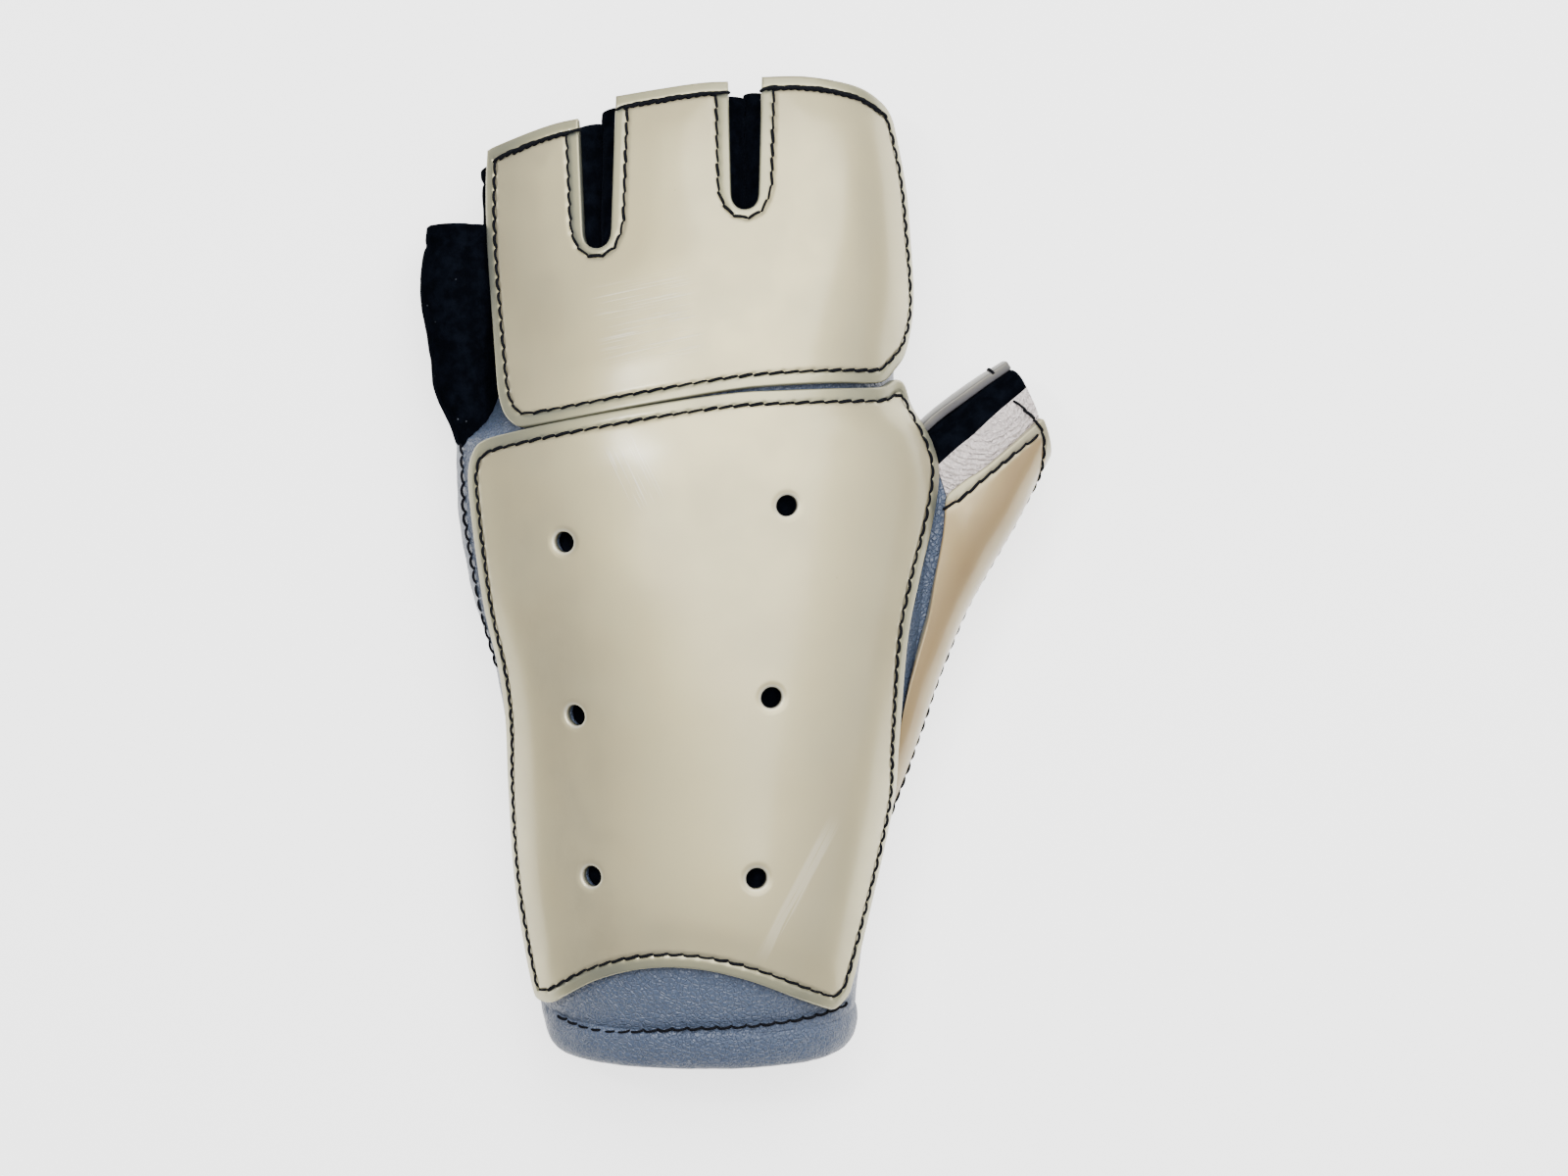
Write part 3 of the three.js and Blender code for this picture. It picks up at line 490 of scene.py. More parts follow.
def smooth_run(points, parts=16):
    """A smooth curve through plan points."""
    points = np.array(points, float)
    ends = np.vstack((points[0], points, points[-1]))
    s = np.linspace(0, 1, parts, endpoint=False)[:, None]
    pieces = []
    for a, b, c, d in zip(ends[:-3], ends[1:-2], ends[2:-1], ends[3:]):
        leave, arrive = (c - a) / 2, (d - b) / 2
        pieces.append(
            (2 * b - 2 * c + leave + arrive) * s ** 3
            + (3 * c - 3 * b - 2 * leave - arrive) * s ** 2
            + leave * s + b
        )
    return np.vstack((*pieces, points[-1]))


def resampled(points, step, closed=False):
    """A line of points at even steps, with its own ends kept."""
    if closed:
        points = np.vstack((points, points[:1]))
    lengths = np.concatenate(([0], np.cumsum(np.linalg.norm(np.diff(points, axis=0), axis=1))))
    count = max(1, round(lengths[-1] / step))
    places = np.linspace(0, lengths[-1], count + 1)
    line = np.stack([np.interp(places, lengths, points[:, i]) for i in range(points.shape[1])], -1)
    return line[:-1] if closed else line


def joined_runs(runs, step):
    """Runs joined by straight lines into one closed line at small steps, and the places of its corners."""
    line = []
    corners = []
    for run, after in zip(runs, runs[1:] + runs[:1]):
        corners.append(len(line))
        line.extend(resampled(run, step)[:-1])
        corners.append(len(line))
        if np.linalg.norm(run[-1] - after[0]) > 1e-6:
            line.extend(resampled(np.array((run[-1], after[0])), step)[:-1])
    return np.array(line), corners


def softened(line, kept, passes):
    """A closed line with its corners rounded, apart from the kept places."""
    line = line.copy()
    free = np.ones(len(line), bool)
    free[np.array(kept, int) % len(line)] = False
    for _ in range(passes):
        middle = (np.roll(line, 1, 0) + np.roll(line, -1, 0)) / 2
        line[free] = (line[free] + middle[free]) / 2
    return line


def slot_run(slot):
    """A slot's edge, down one side, round its end and up the other."""
    left, right, end = slot
    radius = (right - left) / 2
    turn = np.linspace(0, -math.pi, SLOT_SIDES)
    return np.stack((left + radius + radius * np.cos(turn), end + radius + radius * np.sin(turn)), -1)


def anticlockwise(line):
    """A closed pattern line turned to run anticlockwise."""
    after = np.roll(line, -1, 0)
    area = (line[:, 0] * after[:, 1] - line[:, 1] * after[:, 0]).sum()
    return line if area > 0 else line[::-1]


def finger_outline(step):
    """The finger sheet's outline in pattern places, with square tab ends."""
    seam = [(x, y + gap / 2) for (x, y), gap in zip(PANEL_SEAM[1:], PANEL_SEAM_GAPS[1:])]
    runs = [
        smooth_run(FINGER_OUTER),
        smooth_run([FINGER_SEAM_ENDS[0], *seam, FINGER_SEAM_ENDS[1]]),
        smooth_run(FINGER_THUMB_SIDE),
        smooth_run(INDEX_TAB),
        slot_run(INDEX_SLOT),
        smooth_run(MIDDLE_TAB),
        slot_run(RING_SLOT),
        smooth_run(RING_TAB),
    ]
    line, corners = joined_runs(runs, step)
    tips = [corners[i] for i in (0, 7, 10, 11, 14, 15)]
    return anticlockwise(pattern_of(softened(line, tips, CORNER_PASSES)))


def hand_outline(step):
    """The hand sheet's outline in pattern places."""
    seam = [(x, y - gap / 2) for (x, y), gap in zip(PANEL_SEAM, PANEL_SEAM_GAPS)]
    runs = [
        smooth_run(HAND_THUMB_SIDE),
        smooth_run(HAND_CUFF),
        smooth_run(HAND_OUTER),
        smooth_run([HAND_SEAM_ENDS[0], *seam, HAND_SEAM_ENDS[1]]),
    ]
    line, _ = joined_runs(runs, step)
    return anticlockwise(pattern_of(softened(line, [], CORNER_PASSES)))


def thumb_outline(points, corners, step):
    """A thumb sheet's outline in pattern places, rounded apart from its corners."""
    places = np.array([(s * THUMB_PATTERN_ALONG, math.radians(a) * THUMB_PATTERN_ROUND) for s, a in points])
    spans = zip(corners, corners[1:] + (corners[0] + len(points),))
    runs = [smooth_run(places[np.arange(a, b + 1) % len(points)]) for a, b in spans]
    line, _ = joined_runs(runs, step)
    return anticlockwise(softened(line, [], THUMB_CORNER_PASSES))


def metric(place, pattern):
    """How the surface runs across and along the pattern at its places."""
    step = 0.05
    across = place(pattern + (step, 0), 0)[0] - place(pattern - (step, 0), 0)[0]
    along = place(pattern + (0, step), 0)[0] - place(pattern - (0, step), 0)[0]
    return across / (2 * step), along / (2 * step)


def inset(line, place, amount, closed=True):
    """A pattern line moved to its left by a true distance on the surface."""
    ahead = np.roll(line, -1, 0) - np.roll(line, 1, 0) if closed else np.gradient(line, axis=0)
    start = line
    for _ in range(2):
        across, along = metric(place, start)
        tangent = unit(ahead[:, :1] * across + ahead[:, 1:] * along)
        inner = np.cross(unit(np.cross(across, along)), tangent)
        a, b, c = (across * across).sum(1), (across * along).sum(1), (along * along).sum(1)
        u, v = (across * inner).sum(1), (along * inner).sum(1)
        move = np.stack((c * u - b * v, a * v - b * u), -1) / (a * c - b * b)[:, None]
        start = line + move * amount / 2
    return line + move * amount


def inside(points, loop):
    """Which points lie inside a closed line."""
    ax, ay = loop[:, 0], loop[:, 1]
    bx, by = np.roll(ax, -1), np.roll(ay, -1)
    rise = np.where(by == ay, 1e-12, by - ay)
    result = []
    for chunk in np.array_split(points, max(1, len(points) // 3000)):
        x, y = chunk[:, :1], chunk[:, 1:]
        crosses = ((ay > y) != (by > y)) & (x < (bx - ax) * (y - ay) / rise + ax)
        result.append(crosses.sum(1) % 2 == 1)
    return np.concatenate(result)


def within(points, loops):
    """Which points lie inside the first of some closed lines and outside the others."""
    kept = inside(points, loops[0])
    for hole in loops[1:]:
        kept &= ~inside(points, hole)
    return kept


def nearest_of(points, targets):
    """How far each point is from its nearest target, and which that is."""
    tree = kdtree.KDTree(len(targets))
    for i, target in enumerate(targets.tolist()):
        tree.insert(target, i)
    tree.balance()
    found = [tree.find(point)[1:] for point in points.tolist()]
    return np.array([pair[1] for pair in found]), np.array([pair[0] for pair in found])


def distance_to(points, targets):
    """How far each point is from the nearest target."""
    return nearest_of(points, targets)[0]


def hex_grid(low, high, step):
    """Places on an even grid of triangles."""
    rise = step * math.sqrt(3) / 2
    ys = np.arange(low[1], high[1], rise)
    xs = np.arange(low[0], high[0], step)
    x, y = np.meshgrid(xs, ys)
    x[1::2] += step / 2
    return np.stack((x.ravel(), y.ravel()), -1)


def triangulated(loops, inner):
    """Closed pattern lines filled with triangles through inner places. The first line is the outside."""
    edges = []
    start = 0
    for loop in loops:
        count = len(loop)
        edges += [(start + i, start + (i + 1) % count) for i in range(count)]
        start += count
    places = [Vector(place) for place in np.vstack((*loops, inner)).tolist()]
    made = delaunay_2d_cdt(places, edges, [], 0, 1e-5, False)
    corners = np.array([tuple(place) for place in made[0]])
    faces = np.array(made[2])
    return corners, faces[within(corners[faces].mean(1), loops)]


def places_in(corners, loop):
    """Where each place of a line is among the corners."""
    tree = kdtree.KDTree(len(corners))
    for i, corner in enumerate(corners.tolist()):
        tree.insert((*corner, 0), i)
    tree.balance()
    return np.array([tree.find((*place, 0))[1] for place in loop.tolist()])


def ease(value, low, high):
    """A smooth step from 0 at low to 1 at high."""
    s = np.clip((value - low) / (high - low), 0, 1)
    return s * s * (3 - 2 * s)


def quads_between(first, second):
    """Faces between two closed rows of point places."""
    return list(zip(first, second, np.roll(second, -1), np.roll(first, -1)))


def mesh_object(name, points, faces, values=None, sharp=None):
    """A smooth mesh from points in millimetres, with named values on its points."""
    mesh = bpy.data.meshes.new(name)
    mesh.from_pydata((np.asarray(points) * MM).tolist(), [], [tuple(map(int, face)) for face in faces])
    mesh.polygons.foreach_set("use_smooth", [True] * len(mesh.polygons))
    for key, column in (values or {}).items():
        layer = mesh.attributes.new(key, "FLOAT", "POINT")
        layer.data.foreach_set("value", np.asarray(column, np.float32))
    if sharp:
        mesh.set_sharp_from_angle(angle=math.radians(sharp))
    made = bpy.data.objects.new(name, mesh)
    bpy.context.scene.collection.objects.link(made)
    return made


def settled(piece):
    """A piece with its modifiers turned into plain mesh."""
    graph = bpy.context.evaluated_depsgraph_get()
    mesh = bpy.data.meshes.new_from_object(piece.evaluated_get(graph))
    piece.modifiers.clear()
    piece.data = mesh
    mesh.name = piece.name
    return piece


def finished(piece, material, slot, *nodes):
    """A piece with its material, on its body, in place of the nodes that it stands for."""
    piece.data.materials.clear()
    piece.data.materials.append(material)
    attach(piece, BODY)
    if nodes:
        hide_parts(*nodes)
    return piece


def cut_with(piece, cutter):
    """A piece with a closed cutter taken out of it."""
    modifier = piece.modifiers.new("Cut", "BOOLEAN")
    modifier.operation = "DIFFERENCE"
    modifier.solver = "MANIFOLD"
    modifier.object = cutter
    settled(piece)
    bpy.data.objects.remove(cutter)
    return piece


# Stitch lines. A line is a run of surface points with the normals there.

def stitch_places(line, place, pitch, depth, shift=0.0):
    """Stitches along a pattern line: their middles, directions and normals, and their needle holes."""
    fine, normals = place(line, depth)
    lengths = np.concatenate(([0], np.cumsum(np.linalg.norm(np.diff(fine, axis=0), axis=1))))
    count = max(1, round(lengths[-1] / pitch))
    ends = np.linspace(0, lengths[-1], count + 1)
    if shift:
        ends = ends[:-1] + shift * pitch
    holes = np.stack([np.interp(ends, lengths, fine[:, i]) for i in range(3)], -1)
    middles = (ends[1:] + ends[:-1]) / 2
    up = unit(np.stack([np.interp(middles, lengths, normals[:, i]) for i in range(3)], -1))
    along = unit(np.diff(holes, axis=0))
    centre = (holes[1:] + holes[:-1]) / 2
    return {"middle": centre, "along": along, "up": up, "holes": holes, "line": fine}


def clear_parts(line, kept):
    """The longest stretches of a closed line where kept is true, each as an open line."""
    if kept.all():
        return [np.vstack((line, line[:1]))]
    first = int(np.argmin(kept))
    kept = np.roll(kept, -first)
    line = np.roll(line, -first, 0)
    parts = []
    start = None
    for i, is_kept in enumerate(np.append(kept, False)):
        if is_kept and start is None:
            start = i
        if not is_kept and start is not None:
            if i - start > SHORTEST_PART:
                parts.append(line[start:i])
            start = None
    return parts


def joined_lines(lines):
    """Open lines with near ends joined into longer ones, in order."""
    lines = list(lines)
    made = [lines.pop(0)]
    for line in lines:
        if np.linalg.norm(made[-1][-1] - line[0]) < JOIN_REACH:
            made[-1] = np.vstack((made[-1], line))
        else:
            made.append(line)
    if len(made) > 1 and np.linalg.norm(made[-1][-1] - made[0][0]) < JOIN_REACH:
        made[0] = np.vstack((made.pop(), made[0]))
    return made


def sewn_line(outline, place, margin, kept=None):
    """The line that runs its margins inside an outline, with the loops at its corners taken out."""
    inner = inset(outline, place, margin[:, None])
    edge = place(outline, 0)[0]
    away = distance_to(place(inner, 0)[0], edge)
    clear = away > margin - LOOP_SLACK
    if kept is not None:
        clear &= kept
    return joined_lines(clear_parts(inner, clear))


def finger_margins(line, look):
    """The finger sheet's margin at each place of its outline, narrower along the slots."""
    slots = np.vstack([pattern_of(resampled(slot_run(slot), 0.3)) for slot in (RING_SLOT, INDEX_SLOT)])
    away = distance_to(sheet_place(line, 0)[0], sheet_place(slots, 0)[0])
    return smoothed(np.where(away < SLOT_NEAR, look.slot_margin, look.margin), 4)


def hand_margins(line, look):
    """The hand sheet's margin at each place of its outline."""
    return np.full(len(line), look.margin + HAND_MARGIN_EXTRA)


def smoothed(values, passes):
    """Values on a closed line, evened out with their neighbours."""
    for _ in range(passes):
        values = (np.roll(values, 1) + 2 * values + np.roll(values, -1)) / 4
    return values


# Sheets.

def edge_round(distance, radius):
    """How far a cut edge's rounding falls at a distance from the edge."""
    share = np.clip(1 - distance / radius, 0, 1)
    return radius * (1 - np.sqrt(1 - share ** 2))


def sheet_piece(name, outline, margins, vents, place, seams, look):
    """A stiff sheet with rounded cut edges, pressed in along its stitches and puffed inside them."""
    loops = [outline, *vents]
    low, high = outline.min(0), outline.max(0)

    def surface(pattern):
        return place(pattern, 0)[0]

    def grid_within(step, lines):
        grid = hex_grid(low, high, step)
        grid = grid[within(grid, lines)]
        return grid, surface(grid)

    every_edge = surface(np.vstack(loops))
    seam_line = np.vstack([seam["line"] for seam in seams])
    needle_places = np.vstack([seam["holes"] for seam in seams])
    rings = [inset(loop, place, step) for loop in loops for step in EDGE_RINGS]
    fine, points = grid_within(look.fine_step, loops)
    away = distance_to(points, every_edge)
    near = (away < EDGE_BAND) | (distance_to(points, seam_line) < SEAM_BAND)
    band = fine[(away > EDGE_CLEAR) & near]
    coarse, points = grid_within(look.coarse_step, loops)
    clear = distance_to(points, every_edge) > EDGE_BAND + look.coarse_step / 2
    clear &= distance_to(points, seam_line) > SEAM_BAND + look.coarse_step / 2
    corners, faces = triangulated(loops, np.vstack((*rings, band, coarse[clear])))

    flat = surface(corners)
    edge, nearest = nearest_of(flat, surface(outline))
    inward = edge - margins[nearest]
    vent_edge = distance_to(flat, surface(np.vstack(vents))) if vents else np.full(len(flat), NO_VENT)
    seam = distance_to(flat, seam_line)
    needle = distance_to(flat, needle_places)
    depth = edge_round(np.minimum(edge, vent_edge), look.edge_radius)
    depth += look.groove * np.exp(-((seam / GROOVE_WIDTH) ** 2))
    depth += look.dimple * np.exp(-((needle / DIMPLE_WIDTH) ** 2))
    depth += look.vent_dish * (1 - ease(vent_edge, 0, DISH_WIDTH))
    depth -= look.puff * ease(inward, PUFF_START, PUFF_END)
    top = place(corners, depth)[0]

    under_loops = [inset(loop, place, UNDER_INSET) for loop in loops]
    under_grid, points = grid_within(UNDER_STEP, under_loops)
    far = distance_to(points, surface(np.vstack(under_loops))) > UNDER_CLEAR
    under_corners, under_faces = triangulated(under_loops, under_grid[far])
    under = place(under_corners, SHEET)[0]

    skin = [top, under]
    count = len(top) + len(under)
    all_faces = [*faces.tolist(), *(under_faces[:, ::-1] + len(top)).tolist()]
    for loop, under_loop in zip(loops, under_loops):
        rows = [places_in(corners, loop)]
        for rim_depth in (SHEET / 2, SHEET - UNDER_INSET):
            skin.append(place(loop, rim_depth)[0])
            rows.append(np.arange(count, count + len(loop)))
            count += len(loop)
        rows.append(places_in(under_corners, under_loop) + len(top))
        for first, second in zip(rows, rows[1:]):
            all_faces += quads_between(first, second)
    extra = count - len(top)
    values = {
        key: np.concatenate((column, np.full(extra, UNDER_VALUES[key])))
        for key, column in (("inward", inward), ("seam", seam), ("vent", vent_edge))
    }
    skin = np.vstack(skin)
    return mesh_object(name, skin, outward(skin, all_faces), values)


def vent_loop(vent, radius, sides=40):
    """A vent hole's edge in pattern places, with the sheet on its left."""
    centre = pattern_of([vent])[0]
    across, _ = metric(sheet_place, centre[None])
    stretch = np.linalg.norm(across[0])
    turn = np.linspace(0, -2 * math.pi, sides, endpoint=False)
    return np.stack((centre[0] + radius / stretch * np.cos(turn), centre[1] + radius * np.sin(turn)), -1)


def tip_line(run, margin):
    """The seam across a finger tab, from edge to edge."""
    return inset(pattern_of(resampled(smooth_run(run), SEAM_STEP)), sheet_place, margin, closed=False)


# Walls of leather and cloth.

def wall_piece(name, place, across, along, outside, inside_depth, relief=None):
    """A closed curved wall. place(across, along, depth) gives its points, and relief pushes them in."""
    a, b = np.meshgrid(across, along)
    push = relief(place(a, b, outside)[0].reshape(-1, 3)).reshape(a.shape) if relief else 0
    outer = place(a, b, outside + push)[0]
    inner = place(a, b, inside_depth)[0]
    rows, columns = a.shape
    index = np.arange(rows * columns).reshape(rows, columns)
    faces = grid_faces(index) + [face[::-1] for face in grid_faces(index + rows * columns)]
    border = np.concatenate((index[0], index[1:, -1], index[-1, -2::-1], index[-2:0:-1, 0]))
    faces += quads_between(border, border + rows * columns)
    points = np.vstack((outer.reshape(-1, 3), inner.reshape(-1, 3)))
    return mesh_object(name, points, outward(points, faces), sharp=SHARP_ANGLE)


def grid_faces(index):
    """Faces of a grid of point places."""
    return list(zip(
        index[:-1, :-1].ravel().tolist(),
        index[:-1, 1:].ravel().tolist(),
        index[1:, 1:].ravel().tolist(),
        index[1:, :-1].ravel().tolist(),
    ))


def outward(points, faces):
    """Faces of a closed skin, turned to face outwards."""
    quads = np.array([tuple(face) if len(face) == 4 else (*face, face[2]) for face in faces])
    a, b, c, d = (points[quads[:, i]] for i in range(4))
    volume = (np.cross(a, b) * c).sum() + (np.cross(a, c) * d).sum()
    return faces if volume > 0 else [tuple(face)[::-1] for face in faces]


def capped_loft(name, loops):
    """Closed rows of points joined into one skin with flat ends."""
    points = np.vstack(loops)
    rows = np.arange(len(points)).reshape(len(loops), -1)
    quads = [quad for first, second in zip(rows, rows[1:]) for quad in quads_between(first, second)]
    triangles = [triangle for a, b, c, d in quads for triangle in ((a, b, c), (a, c, d))]
    for row in (rows[0], rows[-1][::-1]):
        points = np.vstack((points, points[row].mean(0)))
        triangles += [(a, b, len(points) - 1) for a, b in zip(row, np.roll(row, -1))]
    return mesh_object(name, points, outward(points, triangles), sharp=SHARP_ANGLE)


def tube_piece(name, loops):
    """Rows of points that run out along a tube and back inside it, joined into one skin."""
    points = np.vstack(loops)
    rows = np.arange(len(points)).reshape(len(loops), -1)
    pairs = zip(rows, np.roll(rows, -1, 0))
    faces = [face for first, second in pairs for face in quads_between(first, second)]
    return mesh_object(name, points, outward(points, faces), sharp=SHARP_ANGLE)


def cuff_edge(angle):
    """The cuff's edge, furthest out at the middle of the back and of the palm."""
    drop = np.where(np.sin(angle) < 0, CUFF_PALM_DROP, CUFF_BACK_DROP)
    return CUFF_SIDE - drop * np.abs(np.sin(angle)) ** CUFF_SQUARENESS


def hand_wall(name, start_angle, end_angle, above_cuff, relief, step=WALL_STEP):
    """Leather of the hand between two angles in degrees, from near the cuff to the finger seam."""
    count = round(math.radians(end_angle - start_angle) * WALL_RADIUS / step)
    angles = np.radians(np.linspace(start_angle, end_angle, count + 1))
    shares = np.linspace(0, 1, round((FINGER_SEAM_Y - CUFF_SIDE) / step) + 1)

    def place(angle, share, depth):
        low = cuff_edge(angle) + above_cuff
        return hand_place(angle, low + (FINGER_SEAM_Y - low) * share, depth, "body")

    return wall_piece(name, place, angles, shares, LEATHER_OUTSIDE, LEATHER_INSIDE, relief)


def hand_block(depth):
    """A closed body of the hand form at a depth, for cutting what joins the hand."""
    angles = np.radians(np.arange(0, 360, BLOCK_STEP))
    rows = np.arange(CUFF_SIDE, FINGER_SEAM_Y, BLOCK_STEP)
    loops = [hand_place(angles, y, depth, "body")[0] for y in rows]
    return capped_loft("hand_block", loops)


def thumb_hollow(depth):
    """The room inside the thumb's walls, out past its rim."""
    angles = np.radians(np.arange(0, 360, 4))
    stations = np.concatenate(([-0.5], np.linspace(0, THUMB_ROOT, 33)))
    return capped_loft("thumb_hollow", [thumb_place(s, angles, depth)[0] for s in stations])


def little_loop(y, drawn_in, sides=72):
    """The little finger's section at a Y place."""
    turn = np.linspace(0, 2 * math.pi, sides, endpoint=False)
    left, right = LITTLE["left"](y), LITTLE["right"](y)
    low, high = LITTLE["low"](y), LITTLE["high"](y)
    return np.stack((
        (left + right) / 2 + ((right - left) / 2 - drawn_in) * rounded(np.cos(turn), LITTLE_ROUNDNESS),
        np.full(sides, float(y)),
        (low + high) / 2 + ((high - low) / 2 - drawn_in) * rounded(np.sin(turn), LITTLE_ROUNDNESS),
    ), -1)


def sleeve_folds(share, turn, amount, seed):
    """How far a sleeve is drawn in at a share along it: soft folds, and a sewn hem near its end."""
    places = np.stack((np.cos(turn) * 1.7 + seed, np.sin(turn) * 1.7, np.full(len(turn), share * 4.0)), -1)
    soft = np.array([noise.fractal(Vector(place), 0.7, 2.0, 3) for place in places.tolist()])
    groove = HEM_GROOVE * math.exp(-(((share - HEM_SHARE) / HEM_GROOVE_WIDTH) ** 2))
    hem = HEM_SWELL * float(ease(share, HEM_SHARE, HEM_SHARE + HEM_SWELL_REACH))
    return amount * np.clip(0.5 + 0.7 * soft, 0, 1) + groove - hem


def little_folds(share, turn):
    """The little finger's folds, with a long crease on top near its end."""
    crease = np.exp(-(((turn - math.radians(68)) / 0.13) ** 2)) * float(ease(share, 0.5, 0.75))
    low_fold = np.exp(-(((turn - math.radians(150)) / 0.3) ** 2))
    low_fold *= math.exp(-(((share - 0.45) / 0.05) ** 2))
    return sleeve_folds(share, turn, 0.7, 5.0) + 0.9 * crease + 0.8 * low_fold


def little_hollow(drawn_in):
    """The room inside the little finger's tube."""
    rows = np.linspace(LITTLE_ROWS[0][0], LITTLE_ROWS[-1][0], 24)
    return capped_loft("little_hollow", [little_loop(y, drawn_in) for y in rows])


def reach_of(loop, centre, angles):
    """How far a section reaches from a centre at each angle."""
    dx, dz = np.cos(angles)[:, None], np.sin(angles)[:, None]
    edge = np.roll(loop, -1, 0) - loop
    ex, ez = edge[:, 0], edge[:, 2]
    sx, sz = loop[:, 0] - centre[0], loop[:, 2] - centre[1]
    cross = dx * ez - dz * ex
    cross = np.where(np.abs(cross) < 1e-12, 1e-12, cross)
    along = (sx * ez - sz * ex) / cross
    share = (sx * dz - sz * dx) / cross
    return np.where((along > 0) & (share >= -1e-6) & (share <= 1 + 1e-6), along, 1e9).min(1)


def sleeve_loop(cell, share, drawn_in, angles):
    """A loop round a finger sleeve, a share of the way from the finger seam to its slanted end."""
    _, left_wall, right_wall, (x0, y0), (x1, y1) = cell
    start = FINGER_SEAM_Y + 0.3
    folds = sleeve_folds(min(share, 1), angles, 0.4, x0)

    def section(y, turn):
        form = hand_place(np.radians(np.arange(0, 360, 2.5)), y, LEATHER_OUTSIDE + drawn_in, "body")[0]
        left = form[:, 0].min() - CELL_HEADROOM if left_wall is None else left_wall
        right = form[:, 0].max() + CELL_HEADROOM if right_wall is None else right_wall
        heights = form[(form[:, 0] > left) & (form[:, 0] < right), 2]
        high, low = heights.max() + CELL_HEADROOM, heights.min() - CELL_HEADROOM
        centre = ((left + right) / 2, (low + high) / 2)
        down = (y - FINGER_SEAM_Y) / (y1 - FINGER_SEAM_Y)
        roundness = CELL_BASE_ROUNDNESS + (CELL_TIP_ROUNDNESS - CELL_BASE_ROUNDNESS) * down
        around = np.linspace(0, 2 * math.pi, CELL_SIDES, endpoint=False)
        cell_form = np.stack((
            centre[0] + ((right - left) / 2 - drawn_in) * rounded(np.cos(around), roundness),
            np.full(CELL_SIDES, y),
            centre[1] + (high - low) / 2 * rounded(np.sin(around), roundness),
        ), -1)
        reach = np.minimum(reach_of(cell_form, centre, turn), reach_of(form, centre, turn)) - folds
        return np.stack((
            centre[0] + reach * np.cos(turn),
            np.full(len(turn), y),
            centre[1] + reach * np.sin(turn),
        ), -1)

    middle = section(start + ((y0 + y1) / 2 - start) * share, angles)
    ends = y0 + (y1 - y0) * (middle[:, 0] - x0) / (x1 - x0)
    shifted = middle.copy()
    shifted[:, 1] = start + (ends - start) * share
    return shifted


# Node trees.

def set_inputs(tree, node, inputs):
    """Sets a node's inputs, or links them where a value is a socket, by name or place."""
    for key, value in inputs.items():
        if isinstance(value, bpy.types.NodeSocket):
            tree.links.new(value, node.inputs[key])
        else:
            node.inputs[key].default_value = value


def add_node(tree, kind, inputs=None, **settings):
    """A node with its settings and inputs."""
    made = tree.nodes.new(kind)
    for name, value in settings.items():
        setattr(made, name, value)
    set_inputs(tree, made, inputs or {})
    return made


def math_node(tree, operation, first, second=0.5, clamp=False):
    """The result of a sum of one or two values."""
    inputs = {0: first, 1: second}
    return add_node(tree, "ShaderNodeMath", inputs, operation=operation, use_clamp=clamp).outputs[0]


def times(tree, first, second):
    """Two values multiplied."""
    return math_node(tree, "MULTIPLY", first, second)


def vector_node(tree, operation, first, second=(0, 0, 0)):
    """The result of a sum of two vectors."""
    return add_node(tree, "ShaderNodeVectorMath", {0: first, 1: second}, operation=operation).outputs[0]


def range_node(tree, value, low, high, to_low=0.0, to_high=1.0):
    """A value eased from one range to another and held at its ends."""
    inputs = {"Value": value, "From Min": low, "From Max": high, "To Min": to_low, "To Max": to_high}
    return add_node(tree, "ShaderNodeMapRange", inputs, interpolation_type="SMOOTHSTEP").outputs[0]


def mix_node(tree, factor, first, second):
    """Two colours mixed by a factor. A colour is a socket or three values."""
    first, second = (end if isinstance(end, bpy.types.NodeSocket) else (*end, 1) for end in (first, second))
    return add_node(tree, "ShaderNodeMix", {0: factor, 6: first, 7: second}, data_type="RGBA").outputs[2]


def value_of(tree, name):
    """A piece's own values on its points."""
    made = add_node(tree, "ShaderNodeAttribute", attribute_name=name, attribute_type="GEOMETRY")
    return made.outputs["Fac"]


def noise_node(tree, place, scale, detail=2.0, roughness=0.5):
    """Soft noise on a place."""
    inputs = {"Vector": place, "Scale": scale, "Detail": detail, "Roughness": roughness}
    return add_node(tree, "ShaderNodeTexNoise", inputs).outputs["Fac"]


def cell_node(tree, place, scale, feature="F1"):
    """How far a place is from the middle or the edge of cells."""
    inputs = {"Vector": place, "Scale": scale}
    return add_node(tree, "ShaderNodeTexVoronoi", inputs, feature=feature).outputs["Distance"]


def wave_node(tree, place, scale, distortion, detail, **settings):
    """Waves on a place."""
    inputs = {"Vector": place, "Scale": scale, "Distortion": distortion, "Detail": detail}
    return add_node(tree, "ShaderNodeTexWave", inputs, **settings).outputs["Fac"]


def bump_node(tree, height, strength, distance, normal=None):
    """A bumped normal."""
    inputs = {"Height": height, "Strength": strength, "Distance": distance}
    if normal is not None:
        inputs["Normal"] = normal
    return add_node(tree, "ShaderNodeBump", inputs).outputs[0]


def new_material(name, colour, inputs):
    """A material with one shader, and its node tree, shader and object coordinates."""
    material = bpy.data.materials.new(name)
    material.use_nodes = True
    material.diffuse_color = (*colour, 1)
    tree = material.node_tree
    shader = tree.nodes["Principled BSDF"]
    set_inputs(tree, shader, {"Base Color": (*colour, 1), **inputs})
    place = add_node(tree, "ShaderNodeTexCoord").outputs["Object"]
    return material, tree, shader, place


